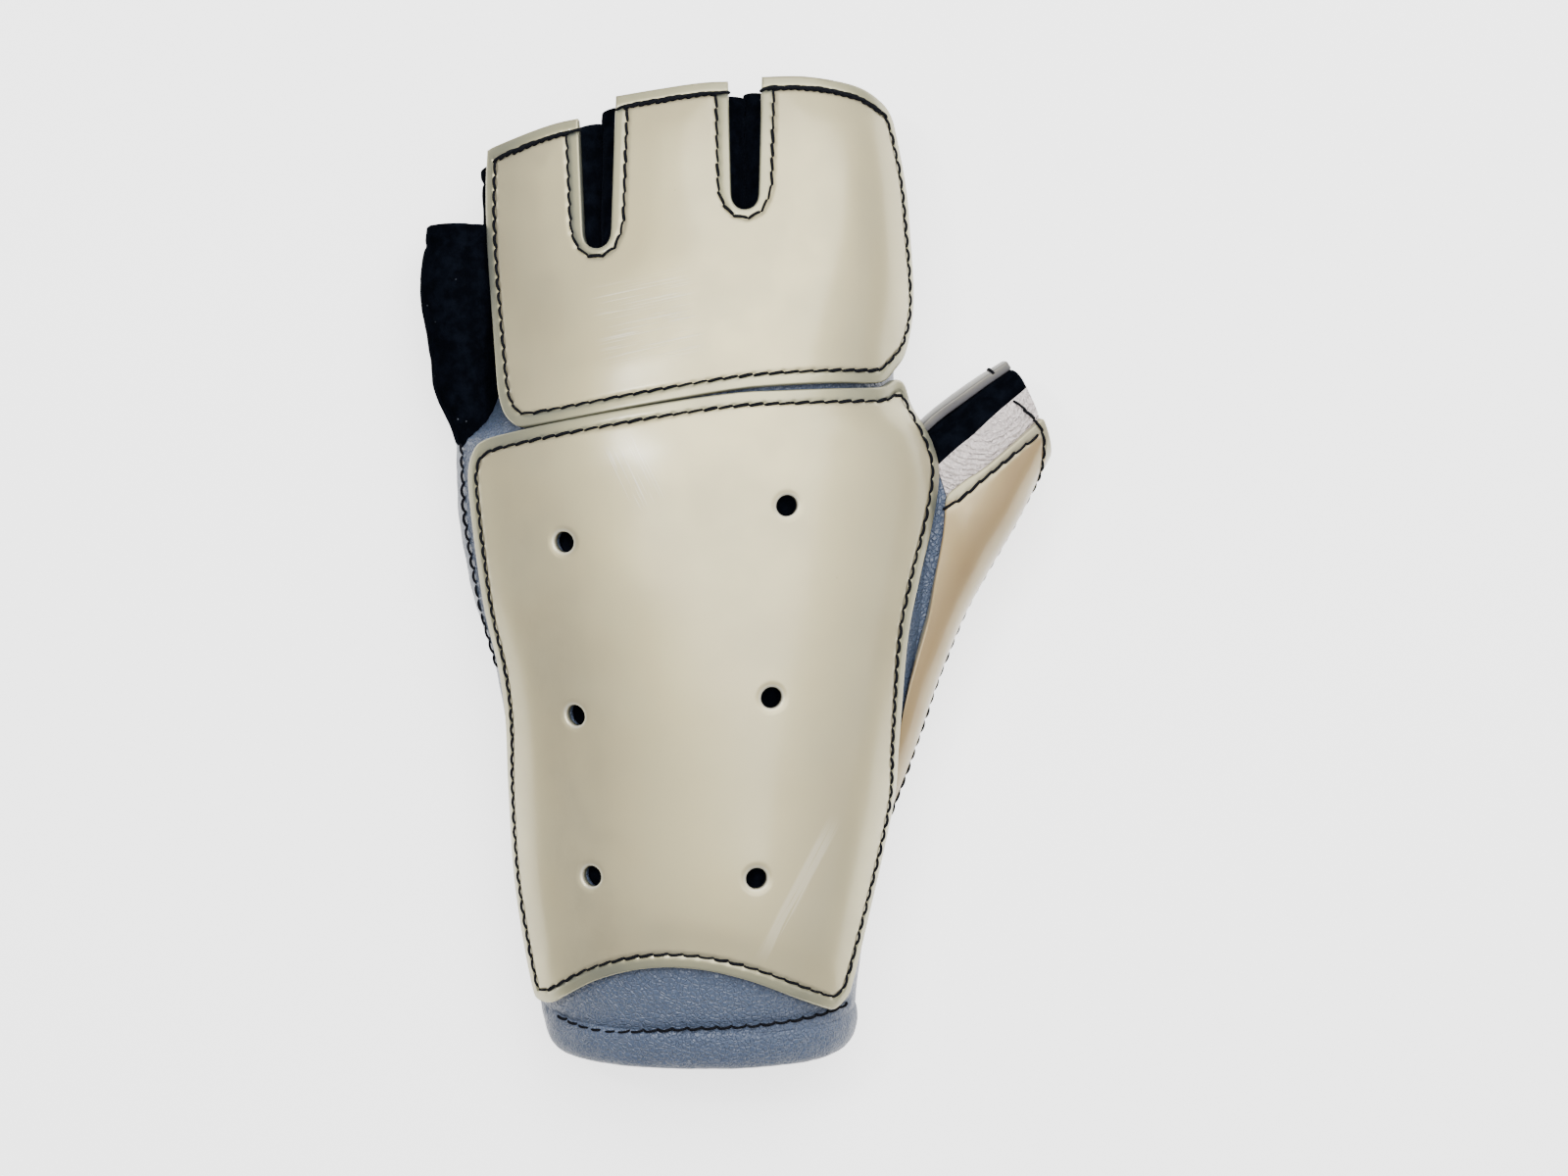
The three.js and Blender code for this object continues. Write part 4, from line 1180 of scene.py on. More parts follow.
def lit_scratch_patch(tree, place, centre, angle, length, width, fineness, threshold):
    """Fine straight scratch lines inside a soft area of a surface, the area where they are painted lit as a
    highlight.
    """
    moved = vector_node(tree, "SUBTRACT", place, [v * MM for v in centre])
    turn = {"Vector": moved, "Angle": math.radians(angle)}
    local = add_node(tree, "ShaderNodeVectorRotate", turn, rotation_type="Z_AXIS").outputs[0]
    parts = add_node(tree, "ShaderNodeSeparateXYZ", {0: local}).outputs
    along, across = (
        math_node(tree, "DIVIDE", math_node(tree, "ABSOLUTE", part), size * MM)
        for part, size in ((parts[0], length), (parts[1], width))
    )
    # The soft lit area, where the painted highlight falls.
    lit_patch = times(
        tree, range_node(tree, along, 0.5, 1.0, 1.0, 0.0), range_node(tree, across, 0.6, 1.0, 1.0, 0.0),
    )
    stretched = vector_node(tree, "MULTIPLY", local, (SCRATCH_STRETCH, fineness, 1))
    lines = range_node(tree, noise_node(tree, stretched, 1.0, 1.0), threshold, threshold + SCRATCH_EDGE)
    return times(tree, lines, lit_patch)


def sheet_material(name, look, colour, warm_colour, margin_colour, mirror=1.0):
    """Glossy sheet with a sewn margin of another colour and specks, with scratch lines painted pale as
    highlights and a painted highlight round the vents.
    """
    material, tree, shader, place = new_material(name, colour, {
        "Roughness": look.sheet_roughness,
        "IOR": 1 + (look.sheet_ior - 1) * mirror,
        "Specular IOR Level": 1.0,
        "Specular Tint": (*look.gloss_colour, 1),
        "Coat Weight": look.coat * mirror,
        "Coat Roughness": look.coat_roughness,
    })
    inward, seam, vent = (value_of(tree, name) for name in ("inward", "seam", "vent"))
    cloudy = noise_node(tree, place, scale=45.0, detail=3.0)
    warm = mix_node(tree, range_node(tree, cloudy, 0.35, 0.65), colour, warm_colour)
    margin = range_node(tree, inward, -0.5, 0.4, 1.0, 0.0)
    halo = times(tree, range_node(tree, seam, 0.2, 1.3, 1.0, 0.0), 0.35)
    tinted = mix_node(tree, math_node(tree, "MAXIMUM", margin, halo), warm, margin_colour)
    # Painted highlight: a pale ring round each vent's edge.
    pale = mix_node(tree, range_node(tree, vent, 0.0, 0.9, 0.75, 0.0), tinted, look.rim_colour)
    specks = range_node(tree, cell_node(tree, place, scale=90.0), 0.0, 0.035, 1.0, 0.0)
    rare = range_node(tree, noise_node(tree, place, scale=60.0, detail=1.0), 0.6, 0.62)
    dotted = mix_node(tree, times(tree, times(tree, specks, rare), SPECK_SHARE), pale, SPECK_COLOUR)
    # Painted highlight: the scratch lines are painted pale inside their lit areas.
    lit_scratches = 0.0
    for lit_patch, strength in LIT_SCRATCH_PATCHES:
        rubbed_and_lit = times(tree, lit_scratch_patch(tree, place, *lit_patch), strength)
        lit_scratches = math_node(tree, "MAXIMUM", lit_scratches, rubbed_and_lit)
    worn_and_lit = mix_node(tree, times(tree, lit_scratches, SCRATCH_HIGHLIGHT_SHARE), dotted, SCRATCH_HIGHLIGHT_COLOUR)
    smudges = noise_node(tree, place, scale=70.0, detail=4.0, roughness=0.6)
    dull = range_node(tree, smudges, 0.3, 0.7, look.sheet_roughness - 0.04, look.sheet_roughness + 0.06)
    rough = math_node(tree, "ADD", dull, times(tree, lit_scratches, 0.2))
    waved = bump_node(tree, noise_node(tree, place, scale=160.0), strength=0.12, distance=0.0004)
    scored = bump_node(tree, lit_scratches, strength=0.25, distance=0.0001, normal=waved)
    set_inputs(tree, shader, {"Base Color": worn_and_lit, "Roughness": rough, "Normal": scored})
    return material


def leather_material(name, colour, dark_colour, grain, crease, ripple=None):
    """Leather with fine pebbled grain and soft creases, and fine rings about a place with painted shade in
    their troughs.
    """
    material, tree, shader, place = new_material(name, colour, {
        "Roughness": 0.55,
        "Specular IOR Level": 0.45,
    })
    clouds = noise_node(tree, place, scale=55.0, detail=4.0, roughness=0.6)
    pebbles = cell_node(tree, place, grain, feature="SMOOTH_F1")
    cracks = cell_node(tree, place, grain * CRACK_SHARE, feature="DISTANCE_TO_EDGE")
    creased = noise_node(tree, place, crease, detail=5.0, roughness=0.65)
    ridges = math_node(tree, "ABSOLUTE", math_node(tree, "SUBTRACT", creased, 0.5))
    valley = range_node(tree, ridges, 0.0, 0.05, 1.0, 0.0)
    shade = range_node(tree, cracks, 0.0, 0.12, 0.35, 0.0)
    patchy = times(tree, range_node(tree, clouds, 0.3, 0.7), 0.22)
    base = mix_node(tree, math_node(tree, "ADD", shade, patchy, clamp=True), colour, dark_colour)
    rough = range_node(tree, clouds, 0.3, 0.7, 0.28, 0.38)
    fine = bump_node(tree, pebbles, strength=0.55, distance=0.0003)
    veined = bump_node(tree, range_node(tree, cracks, 0.0, 0.2), strength=0.7, distance=0.0003, normal=fine)
    folded = bump_node(tree, valley, strength=-0.3, distance=0.0004, normal=veined)
    if ripple:
        centred = vector_node(tree, "SUBTRACT", place, ripple)
        rings = wave_node(tree, centred, 260.0, 6.0, 3.0, wave_type="RINGS", rings_direction="SPHERICAL")
        away = add_node(tree, "ShaderNodeVectorMath", {0: centred}, operation="LENGTH").outputs["Value"]
        near = range_node(tree, away, RIPPLE_REACH, RIPPLE_REACH * RIPPLE_FADE, 1.0, 0.0)
        folded = bump_node(tree, times(tree, rings, near), strength=0.8, distance=0.0005, normal=folded)
        # Painted shade: the rings' troughs are darkened towards the crease colour.
        shaded_hollows = times(tree, range_node(tree, rings, 0.0, 0.6, 0.35, 0.0), near)
        base = mix_node(tree, shaded_hollows, base, dark_colour)
    set_inputs(tree, shader, {"Base Color": base, "Roughness": rough, "Normal": folded})
    return material


def cloth_material(name, look):
    """Black brushed cloth with a soft sheen and sparse lint."""
    material, tree, shader, place = new_material(name, look.cloth_colour, {
        "Roughness": 0.95,
        "Sheen Weight": 0.02,
        "Sheen Roughness": 0.4,
        "Sheen Tint": (*SHEEN_COLOUR, 1),
        "Specular IOR Level": 0.0,
    })
    fuzz = noise_node(tree, place, scale=2200.0, detail=3.0, roughness=0.7)
    pile = noise_node(tree, place, scale=300.0, detail=3.0, roughness=0.6)
    lift = mix_node(tree, range_node(tree, pile, 0.35, 0.7), look.cloth_colour, look.cloth_pile_colour)
    dots = range_node(tree, cell_node(tree, place, scale=420.0), 0.0, 0.12, 1.0, 0.0)
    sparse = range_node(tree, noise_node(tree, place, scale=240.0), 0.62, 0.68)
    lint = times(tree, times(tree, dots, sparse), look.lint)
    brushed = bump_node(tree, fuzz, strength=0.5, distance=0.0003)
    napped = bump_node(tree, pile, strength=0.4, distance=0.0005, normal=brushed)
    set_inputs(tree, shader, {"Base Color": mix_node(tree, lint, lift, LINT_COLOUR), "Normal": napped})
    return material


def thread_material(name, look):
    """Black twisted thread."""
    material, tree, shader, place = new_material(name, look.thread_colour, {
        "Roughness": 0.9,
        "Specular IOR Level": 0.05,
    })
    twist = wave_node(tree, place, 900.0, 2.0, 2.0, bands_direction="DIAGONAL")
    strand = mix_node(tree, twist, look.thread_colour, STRAND_COLOUR)
    raised = bump_node(tree, twist, strength=0.5, distance=0.0001)
    set_inputs(tree, shader, {"Base Color": strand, "Normal": raised})
    return material


def stitch_tree():
    """A node tree that sews a bent stitch at every point of a line."""
    tree = bpy.data.node_groups.new("Sew Stitches", "GeometryNodeTree")
    face = tree.interface
    face.new_socket("Geometry", in_out="OUTPUT", socket_type="NodeSocketGeometry")
    face.new_socket("Geometry", in_out="INPUT", socket_type="NodeSocketGeometry")
    for name in ("Length", "Radius", "Rise", "Sink", "Slant"):
        face.new_socket(name, in_out="INPUT", socket_type="NodeSocketFloat")
    face.new_socket("Seed", in_out="INPUT", socket_type="NodeSocketInt")
    face.new_socket("Thread", in_out="INPUT", socket_type="NodeSocketMaterial")
    given = tree.nodes.new("NodeGroupInput").outputs
    half, back = (times(tree, given["Length"], share) for share in (0.5, -0.5))
    sink, less = (times(tree, given[name], -1.0) for name in ("Sink", "Slant"))
    start, start_handle, end_handle, end = (
        add_node(tree, "ShaderNodeCombineXYZ", {0: x, 1: y, 2: z}).outputs[0]
        for x, y, z in (
            (back, less, sink),
            (times(tree, back, 0.75), less, given["Rise"]),
            (times(tree, half, 0.75), given["Slant"], given["Rise"]),
            (half, given["Slant"], sink),
        )
    )
    bend = add_node(tree, "GeometryNodeCurvePrimitiveBezierSegment", {
        "Resolution": STITCH_STEPS,
        "Start": start,
        "Start Handle": start_handle,
        "End Handle": end_handle,
        "End": end,
    })
    section = add_node(tree, "GeometryNodeCurvePrimitiveCircle", {
        "Resolution": STITCH_SIDES,
        "Radius": given["Radius"],
    })
    stitch = add_node(tree, "GeometryNodeCurveToMesh", {
        "Curve": bend.outputs[0],
        "Profile Curve": section.outputs[0],
        "Fill Caps": True,
    })
    along, up = (
        add_node(tree, "GeometryNodeInputNamedAttribute", {"Name": name}, data_type="FLOAT_VECTOR")
        for name in STITCH_AXES
    )
    axes = {0: up.outputs[0], 1: along.outputs[0]}
    turn = add_node(tree, "FunctionNodeAxesToRotation", axes, primary_axis="Z", secondary_axis="X")
    size = add_node(tree, "FunctionNodeRandomValue", {
        "Min": STITCH_LEAST,
        "Max": STITCH_MOST,
        "Seed": given["Seed"],
    }, data_type="FLOAT_VECTOR")
    sewn = add_node(tree, "GeometryNodeInstanceOnPoints", {
        "Points": given["Geometry"],
        "Instance": stitch.outputs[0],
        "Rotation": turn.outputs[0],
        "Scale": size.outputs[0],
    })
    real = add_node(tree, "GeometryNodeRealizeInstances", {"Geometry": sewn.outputs[0]})
    smooth = add_node(tree, "GeometryNodeSetShadeSmooth", {"Geometry": real.outputs[0]})
    dyed = add_node(tree, "GeometryNodeSetMaterial", {
        "Geometry": smooth.outputs[0],
        "Material": given["Thread"],
    })
    add_node(tree, "NodeGroupOutput", {0: dyed.outputs[0]})
    return tree


def sewn_piece(name, seams, material, sizes):
    """Stitches on several seams as one piece. sizes holds the tree's inputs in millimetres."""
    mesh = bpy.data.meshes.new(name)
    middles = np.vstack([seam["middle"] for seam in seams])
    mesh.from_pydata((middles * MM).tolist(), [], [])
    for key in STITCH_AXES:
        layer = mesh.attributes.new(key, "FLOAT_VECTOR", "POINT")
        vectors = np.vstack([seam[key] for seam in seams])
        layer.data.foreach_set("vector", vectors.astype(np.float32).ravel())
    piece = bpy.data.objects.new(name, mesh)
    bpy.context.scene.collection.objects.link(piece)
    tree = bpy.data.node_groups.get("Sew Stitches") or stitch_tree()
    modifier = piece.modifiers.new("Stitches", "NODES")
    modifier.node_group = tree
    sockets = {item.name: item.identifier for item in tree.interface.items_tree if item.in_out == "INPUT"}
    for key, value in sizes.items():
        modifier[sockets[key]] = value * MM
    modifier[sockets["Seed"]] = STITCH_SEED
    modifier[sockets["Thread"]] = material
    settled(piece)
    for key in STITCH_AXES:
        if key in piece.data.attributes:
            piece.data.attributes.remove(piece.data.attributes[key])
    return piece


# Settings that a user would change.

def a_colour(name, description, default):
    """A colour."""
    return FloatVectorProperty(name=name, description=description, default=default, subtype="COLOR", size=3)


def a_share(name, description, default):
    """A share from 0 to 1."""
    return FloatProperty(name=name, description=description, default=default, min=0, max=1)


def a_number(name, description, default, unit="NONE"):
    """A size or a strength."""
    return FloatProperty(name=name, description=description, default=default, unit=unit)


class SheetLook(bpy.types.PropertyGroup):
    """Sizes and colours of the stiff sheets."""
    sheet_colour: a_colour("Sheet colour", "Colour of the sheets", (0.3, 0.27, 0.2))
    sheet_warm_colour: a_colour("Warm patches", "Colour of the sheets' warmer patches", (0.305, 0.267, 0.19))
    margin_colour: a_colour("Margin colour", "Colour of the sewn margins", (0.075, 0.095, 0.108))
    # Painted highlight: the pale ring round each vent.
    rim_colour: a_colour("Vent rim colour", "Colour of the vents' rims", (0.6, 0.6, 0.55))
    # Painted shade: the thumb sheet's colours are darker, oranger copies of the cream, for the shade and
    # warm bounce light it lies in.
    thumb_colour: a_colour("Thumb colour", "Colour of the thumb's sheet", (0.25, 0.158, 0.086))
    thumb_warm_colour: a_colour(
        "Thumb warm patches", "Colour of the thumb sheet's warmer patches", (0.255, 0.153, 0.076),
    )
    thumb_margin_colour: a_colour(
        "Thumb margin colour", "Colour of the sewn margin of the thumb's sheet", (0.27, 0.25, 0.19),
    )
    strip_colour: a_colour("Strip colour", "Colour of the thumb's inner strip", (0.12, 0.12, 0.135))
    gloss_colour: a_colour("Gloss colour", "Colour of the sheets' own gloss", (1.0, 0.88, 0.42))
    sheet_roughness: a_share("Roughness", "How dull the sheets are", 0.5)
    sheet_ior: a_number("Refraction", "How strongly the sheets mirror light", 2.35)
    coat: a_share("Coat", "How much clear gloss lies on the sheets", 1.0)
    coat_roughness: a_share("Coat roughness", "How dull the clear gloss is", 0.2)
    margin: a_number("Margin", "From a cut edge to its stitches, in millimetres", 2.9)
    slot_margin: a_number("Slot margin", "From a slot's edge to its stitches, in millimetres", 2.2)
    tip_margin: a_number("Tip margin", "From a tab's end to its seam, in millimetres", 3.3)
    thumb_margin: a_number("Thumb margin", "From a thumb sheet's edge to its stitches, in millimetres", 2.7)
    edge_radius: a_number("Edge radius", "Rounding of the cut edges, in millimetres", 0.4)
    groove: a_number("Groove", "How deep the stitches press in, in millimetres", 0.32)
    dimple: a_number("Dimple", "How deep the needle holes press in, in millimetres", 0.3)
    vent_dish: a_number("Vent dish", "How deep the vents are dished, in millimetres", 0.22)
    puff: a_number("Puff", "How far the sheets swell inside their stitches, in millimetres", 0.25)
    fine_step: a_number("Fine step", "Mesh step near edges and stitches, in millimetres", 0.45)
    coarse_step: a_number("Coarse step", "Mesh step elsewhere, in millimetres", 1.4)


class SoftLook(bpy.types.PropertyGroup):
    """Colours of the leather and the cloth."""
    blue_colour: a_colour("Blue leather", "Colour of the blue leather", (0.08, 0.107, 0.168))
    blue_dark_colour: a_colour("Blue creases", "Colour of the blue leather's creases", (0.056, 0.073, 0.12))
    white_colour: a_colour("White leather", "Colour of the white leather", (0.82, 0.735, 0.715))
    # This crease colour is also the painted shade in the thumb leather's rings.
    white_dark_colour: a_colour("White creases", "Colour of the white leather's creases", (0.56, 0.49, 0.48))
    cloth_colour: a_colour("Cloth", "Colour of the black cloth", (0.0014, 0.0018, 0.003))
    cloth_pile_colour: a_colour("Cloth pile", "Colour of the cloth's raised pile", (0.003, 0.004, 0.007))
    lint: a_share("Lint", "How much lint lies on the cloth", 0.5)


class ThreadLook(bpy.types.PropertyGroup):
    """Sizes and colour of the stitches."""
    thread_colour: a_colour("Thread colour", "Colour of the thread", (0.004, 0.004, 0.006))
    pitch: a_number("Pitch", "From one needle hole to the next, in millimetres", 3.5)
    radius: a_number("Thread radius", "Half the thread's thickness, in millimetres", 0.33)


class StageLook(bpy.types.PropertyGroup):
    """The floor, the light and the camera's height."""
    floor_colour: a_colour("Floor colour", "Colour of the floor", (0.8, 0.8, 0.8))
    floor_glow: a_number("Floor glow", "Light that comes through the floor, as on a light table", 2.1)
    key_power: a_number("Key light", "Power of the main light", 21.0, "POWER")
    right_power: a_number("Right light", "Power of the light at the right", 1.6, "POWER")
    left_power: a_number("Left light", "Power of the narrow light at the left", 2.1, "POWER")
    world_strength: a_number("World light", "Strength of the light from all round", 0.2)
    camera_height: a_number("Camera height", "Height of the camera", 0.7, "LENGTH")
    lens: a_number("Lens", "Focal length in millimetres", 66.2)


def sheet_seams():
    """Every seam on the two hand sheets, as stitches, by sheet."""
    look = bpy.context.scene.glove_sheets
    pitch = bpy.context.scene.glove_threads.pitch
    tabs = (INDEX_TAB, MIDDLE_TAB, RING_TAB)
    tab_ends = sheet_place(np.vstack([pattern_of(resampled(smooth_run(run), 0.4)) for run in tabs]), 0)[0]
    line = finger_outline(OUTLINE_STEP)
    margins = finger_margins(line, look)
    inner = sheet_place(inset(line, sheet_place, margins[:, None]), 0)[0]
    sides = sewn_line(line, sheet_place, margins, distance_to(inner, tab_ends) > look.tip_margin)
    hand = hand_outline(OUTLINE_STEP)
    around = sewn_line(hand, sheet_place, hand_margins(hand, look))

    def sewn(lines, pitch, shift=0.0):
        return [
            stitch_places(resampled(part, SEAM_STEP), sheet_place, pitch, look.groove, shift)
            for part in lines
        ]

    tips = [tip_line(run, look.tip_margin) for run in tabs]
    return {
        "finger": sewn(sides, pitch),
        "tips": sewn(tips, pitch * TIP_PITCH) + sewn(tips, pitch * TIP_PITCH, 0.5),
        "hand": sewn(around, pitch),
    }


def thumb_seam(points, pitch, depth):
    """A seam on the thumb through stations and angles."""
    places = [(s * THUMB_PATTERN_ALONG, math.radians(a) * THUMB_PATTERN_ROUND) for s, a in points]
    return stitch_places(resampled(smooth_run(places), SEAM_STEP), thumb_sheet_place, pitch, depth)


def thumb_sheets():
    """Each thumb sheet's name, node, outline, margins and seams."""
    look = bpy.context.scene.glove_sheets
    pitch = bpy.context.scene.glove_threads.pitch
    outer = (THUMB_TOP_STITCHES, THUMB_TIP_STITCHES, THUMB_LOW_STITCHES)
    inner = (THUMB_INNER_STITCHES,)
    made = []
    for name, node, points, corners, seams in (
        ("thumb_sheet", "thumb_panel", THUMB_PANEL, THUMB_PANEL_CORNERS, outer),
        ("thumb_inner_sheet", "thumb_inner_panel", THUMB_INNER_PANEL, THUMB_INNER_CORNERS, inner),
    ):
        line = thumb_outline(points, corners, OUTLINE_STEP)
        station = line[:, 0] / THUMB_PATTERN_ALONG
        angle = np.degrees(line[:, 1] / THUMB_PATTERN_ROUND)
        margins = np.zeros(len(line))
        if name == "thumb_sheet":
            sewn_in = (station > GUSSET_STATION) & (angle < GUSSET_ANGLES[1])
            wrapped = np.where(angle > THUMB_WRAP_ANGLE, THUMB_WRAP_MARGIN, look.thumb_margin)
            margins = np.where(sewn_in, 0.0, wrapped)
        sewn = [thumb_seam(run, pitch, look.groove) for run in seams]
        made.append((name, node, line, smoothed(margins, 6), sewn))
    return made


def body_place(pattern, depth):
    """Pattern places on the hand's leather, and their normals."""
    return sheet_place(pattern, depth, "body")


def leather_seams():
    """The seams on the leather, each as stitches, by piece."""
    pitch = bpy.context.scene.glove_threads.pitch

    def seam(run, depth):
        line = resampled(smooth_run(pattern_of(run, "body")), SEAM_STEP)
        return stitch_places(line, body_place, pitch, depth)

    return {
        "side": seam(SIDE_STITCHES, LEATHER_OUTSIDE + SIDE_SINK),
        "cuff": seam(CUFF_STITCHES, LEATHER_OUTSIDE + CUFF_SINK),
        "white": thumb_seam(WHITE_STITCHES, pitch, LEATHER_OUTSIDE + WHITE_SINK),
    }


def seam_push(amount, width, line):
    """A relief that presses a wall in along a seam's line."""
    def push(points):
        return amount * np.exp(-((distance_to(points, line) / width) ** 2))
    return push


def soft_push(amount, size, seed):
    """A relief that pushes a wall in by soft noise."""
    def push(points):
        offset = Vector((seed, 2 * seed, 3 * seed))
        heights = [noise.fractal(Vector(point) / size + offset, 0.6, 2.0, 3) for point in points.tolist()]
        return amount * np.clip(np.array(heights) * 0.5 + 0.5, 0, 1)
    return push


def finish_of(name):
    """A material made once and used again."""
    material = bpy.data.materials.get(name)
    if material:
        return material
    sheets = bpy.context.scene.glove_sheets
    soft = bpy.context.scene.glove_soft
    cream = (sheets.sheet_colour, sheets.sheet_warm_colour, sheets.margin_colour)
    # Painted shade: the thumb sheet takes darker, oranger copies of the cream colours.
    tan = (sheets.thumb_colour, sheets.thumb_warm_colour, sheets.thumb_margin_colour)
    strip = (sheets.strip_colour,) * 3
    blue = (soft.blue_colour, soft.blue_dark_colour)
    white = (soft.white_colour, soft.white_dark_colour)
    maker, settings = {
        "cream_finish": (sheet_material, (sheets, *cream)),
        "tan_finish": (sheet_material, (sheets, *tan, TAN_MIRROR)),
        "strip_finish": (sheet_material, (sheets, *strip, STRIP_MIRROR)),
        "blue_finish": (leather_material, (*blue, BLUE_GRAIN, BLUE_CREASE)),
        "white_finish": (leather_material, (*white, WHITE_GRAIN, WHITE_CREASE, RIPPLE_CENTRE)),
        "cloth_finish": (cloth_material, (soft,)),
        "thread_finish": (thread_material, (bpy.context.scene.glove_threads,)),
    }[name]
    return maker(name, *settings)


class GLOVE_OT_hand_sheets(bpy.types.Operator):
    """Make the sheets over the fingers and over the back of the hand"""
    bl_idname = "glove.hand_sheets"
    bl_label = "Hand Sheets"

    def execute(self, context):
        look = context.scene.glove_sheets
        seams = sheet_seams()
        line = finger_outline(OUTLINE_STEP)
        sewn = seams["finger"] + seams["tips"]
        finger = sheet_piece("finger_sheet", line, finger_margins(line, look), [], sheet_place, sewn, look)
        finished(finger, finish_of("cream_finish"), "cream_sheet", "finger_panel")
        vents = [vent_loop(vent, VENT_RADIUS) for vent in VENTS]
        line = hand_outline(OUTLINE_STEP)
        sewn = seams["hand"]
        hand = sheet_piece("hand_sheet", line, hand_margins(line, look), vents, sheet_place, sewn, look)
        finished(hand, finish_of("cream_finish"), "cream_sheet", "hand_panel")
        return {"FINISHED"}


class GLOVE_OT_thumb_sheets(bpy.types.Operator):
    """Make the two sheets on the thumb"""
    bl_idname = "glove.thumb_sheets"
    bl_label = "Thumb Sheets"

    def execute(self, context):
        look = context.scene.glove_sheets
        for name, node, line, margins, seams in thumb_sheets():
            piece = sheet_piece(name, line, margins, [], thumb_sheet_place, seams, look)
            cut_with(piece, hand_block(SHEET - UNDER_INSET))
            # The outer thumb sheet gets the painted-shade copy of the cream.
            finish = "tan_finish" if name == "thumb_sheet" else "strip_finish"
            finished(piece, finish_of(finish), "cream_sheet", node)
        return {"FINISHED"}


class GLOVE_OT_hand_leather(bpy.types.Operator):
    """Make the leather of the hand and the lining under the vents"""
    bl_idname = "glove.hand_leather"
    bl_label = "Hand Leather"

    def execute(self, context):
        above = HEM_WIDTH - HEM_LAP
        seams = leather_seams()
        soft = soft_push(amount=0.3, size=14, seed=1)
        press = seam_push(amount=0.7, width=1.2, line=seams["cuff"]["line"])
        tuck = seam_push(amount=0.4, width=0.9, line=seams["side"]["line"])

        def back_relief(points):
            return soft(points) + press(points) + tuck(points)

        start, end = OUTER_SEAM + LEATHER_GAP, PALM_SEAM + LEATHER_GAP
        around = 360 + THUMB_SEAM - LEATHER_GAP
        back = hand_wall("back_leather_skin", THUMB_SEAM, OUTER_SEAM, above, back_relief, BACK_WALL_STEP)
        folds = soft_push(amount=0.5, size=12, seed=2)
        side = hand_wall("side_leather_skin", start, PALM_SEAM, above, folds)
        palm = hand_wall("palm_leather_skin", end, around, 0, soft_push(amount=0.5, size=16, seed=3))
        for vent in VENTS:
            cut_with(back, vent_plug(vent))
        for piece in (back, side, palm):
            cut_with(piece, thumb_hollow(LEATHER_INSIDE))
            cut_with(piece, little_hollow(LITTLE_WALL))
        finished(back, finish_of("blue_finish"), "blue_leather", "back_leather")
        finished(side, finish_of("blue_finish"), "blue_leather", "side_leather")
        finished(palm, finish_of("white_finish"), "white_leather", "palm_leather")

        def liner_place(angle, y, depth):
            return hand_place(angle, y, depth, "body")

        angles = np.radians(np.linspace(*LINER_ANGLES, LINER_STEPS))
        rows = np.linspace(*LINER_ENDS, LINER_STEPS)
        relief = soft_push(amount=0.4, size=9, seed=4)
        liner = wall_piece("vent_lining", liner_place, angles, rows, LINER_OUTSIDE, LINER_INSIDE, relief)
        finished(liner, finish_of("cloth_finish"), "black_cloth", "hand_liner")
        return {"FINISHED"}


def vent_plug(vent):
    """A plug through the leather at a vent."""
    loop = vent_loop(vent, LEATHER_VENT_RADIUS, 24)
    return capped_loft("vent_plug", [sheet_place(loop, depth)[0] for depth in (SHEET, LINER_OUTSIDE)])


class GLOVE_OT_cuff_hem(bpy.types.Operator):
    """Make the rolled hem of the cuff"""
    bl_idname = "glove.cuff_hem"
    bl_label = "Cuff Hem"

    def execute(self, context):
        angles = np.radians(np.linspace(THUMB_SEAM, PALM_SEAM, HEM_STEPS))
        turn = np.linspace(0, 2 * math.pi, HEM_SIDES, endpoint=False)
        half_width, half_depth = HEM_WIDTH / 2, HEM_THICKNESS / 2
        wrinkle = soft_push(amount=0.5, size=9, seed=9)
        loops = []
        for angle in angles:
            y = cuff_edge(angle) + half_width + half_width * rounded(np.cos(turn), HEM_ROUNDNESS)
            side_on = rounded(np.sin(turn), HEM_ROUNDNESS)
            proud = np.where(side_on < 0, HEM_PROUD, 0)
            depth = LEATHER_OUTSIDE + half_depth + (half_depth + proud) * side_on
            plain = hand_place(angle, y, depth, "body")[0]
            loops.append(hand_place(angle, y, depth + wrinkle(plain) * (np.sin(turn) < 0.5), "body")[0])
        hem = capped_loft("cuff_roll", loops)
        finished(hem, finish_of("blue_finish"), "blue_leather", "cuff_hem")
        return {"FINISHED"}


def sleeve_rows(count):
    """Shares along a sleeve and how far in each row lies, out along it, round its lip and back."""
    out = [(share, 0.0) for share in np.linspace(0, 1, count)]
    turns = np.linspace(0, math.pi, 7)[1:-1]
    lip = [(1 + LIP_SHARE * math.sin(turn), CLOTH / 2 * (1 - math.cos(turn))) for turn in turns]
    back = [(share, CLOTH) for share in np.linspace(1, 0, count // 2)]
    return out + lip + back


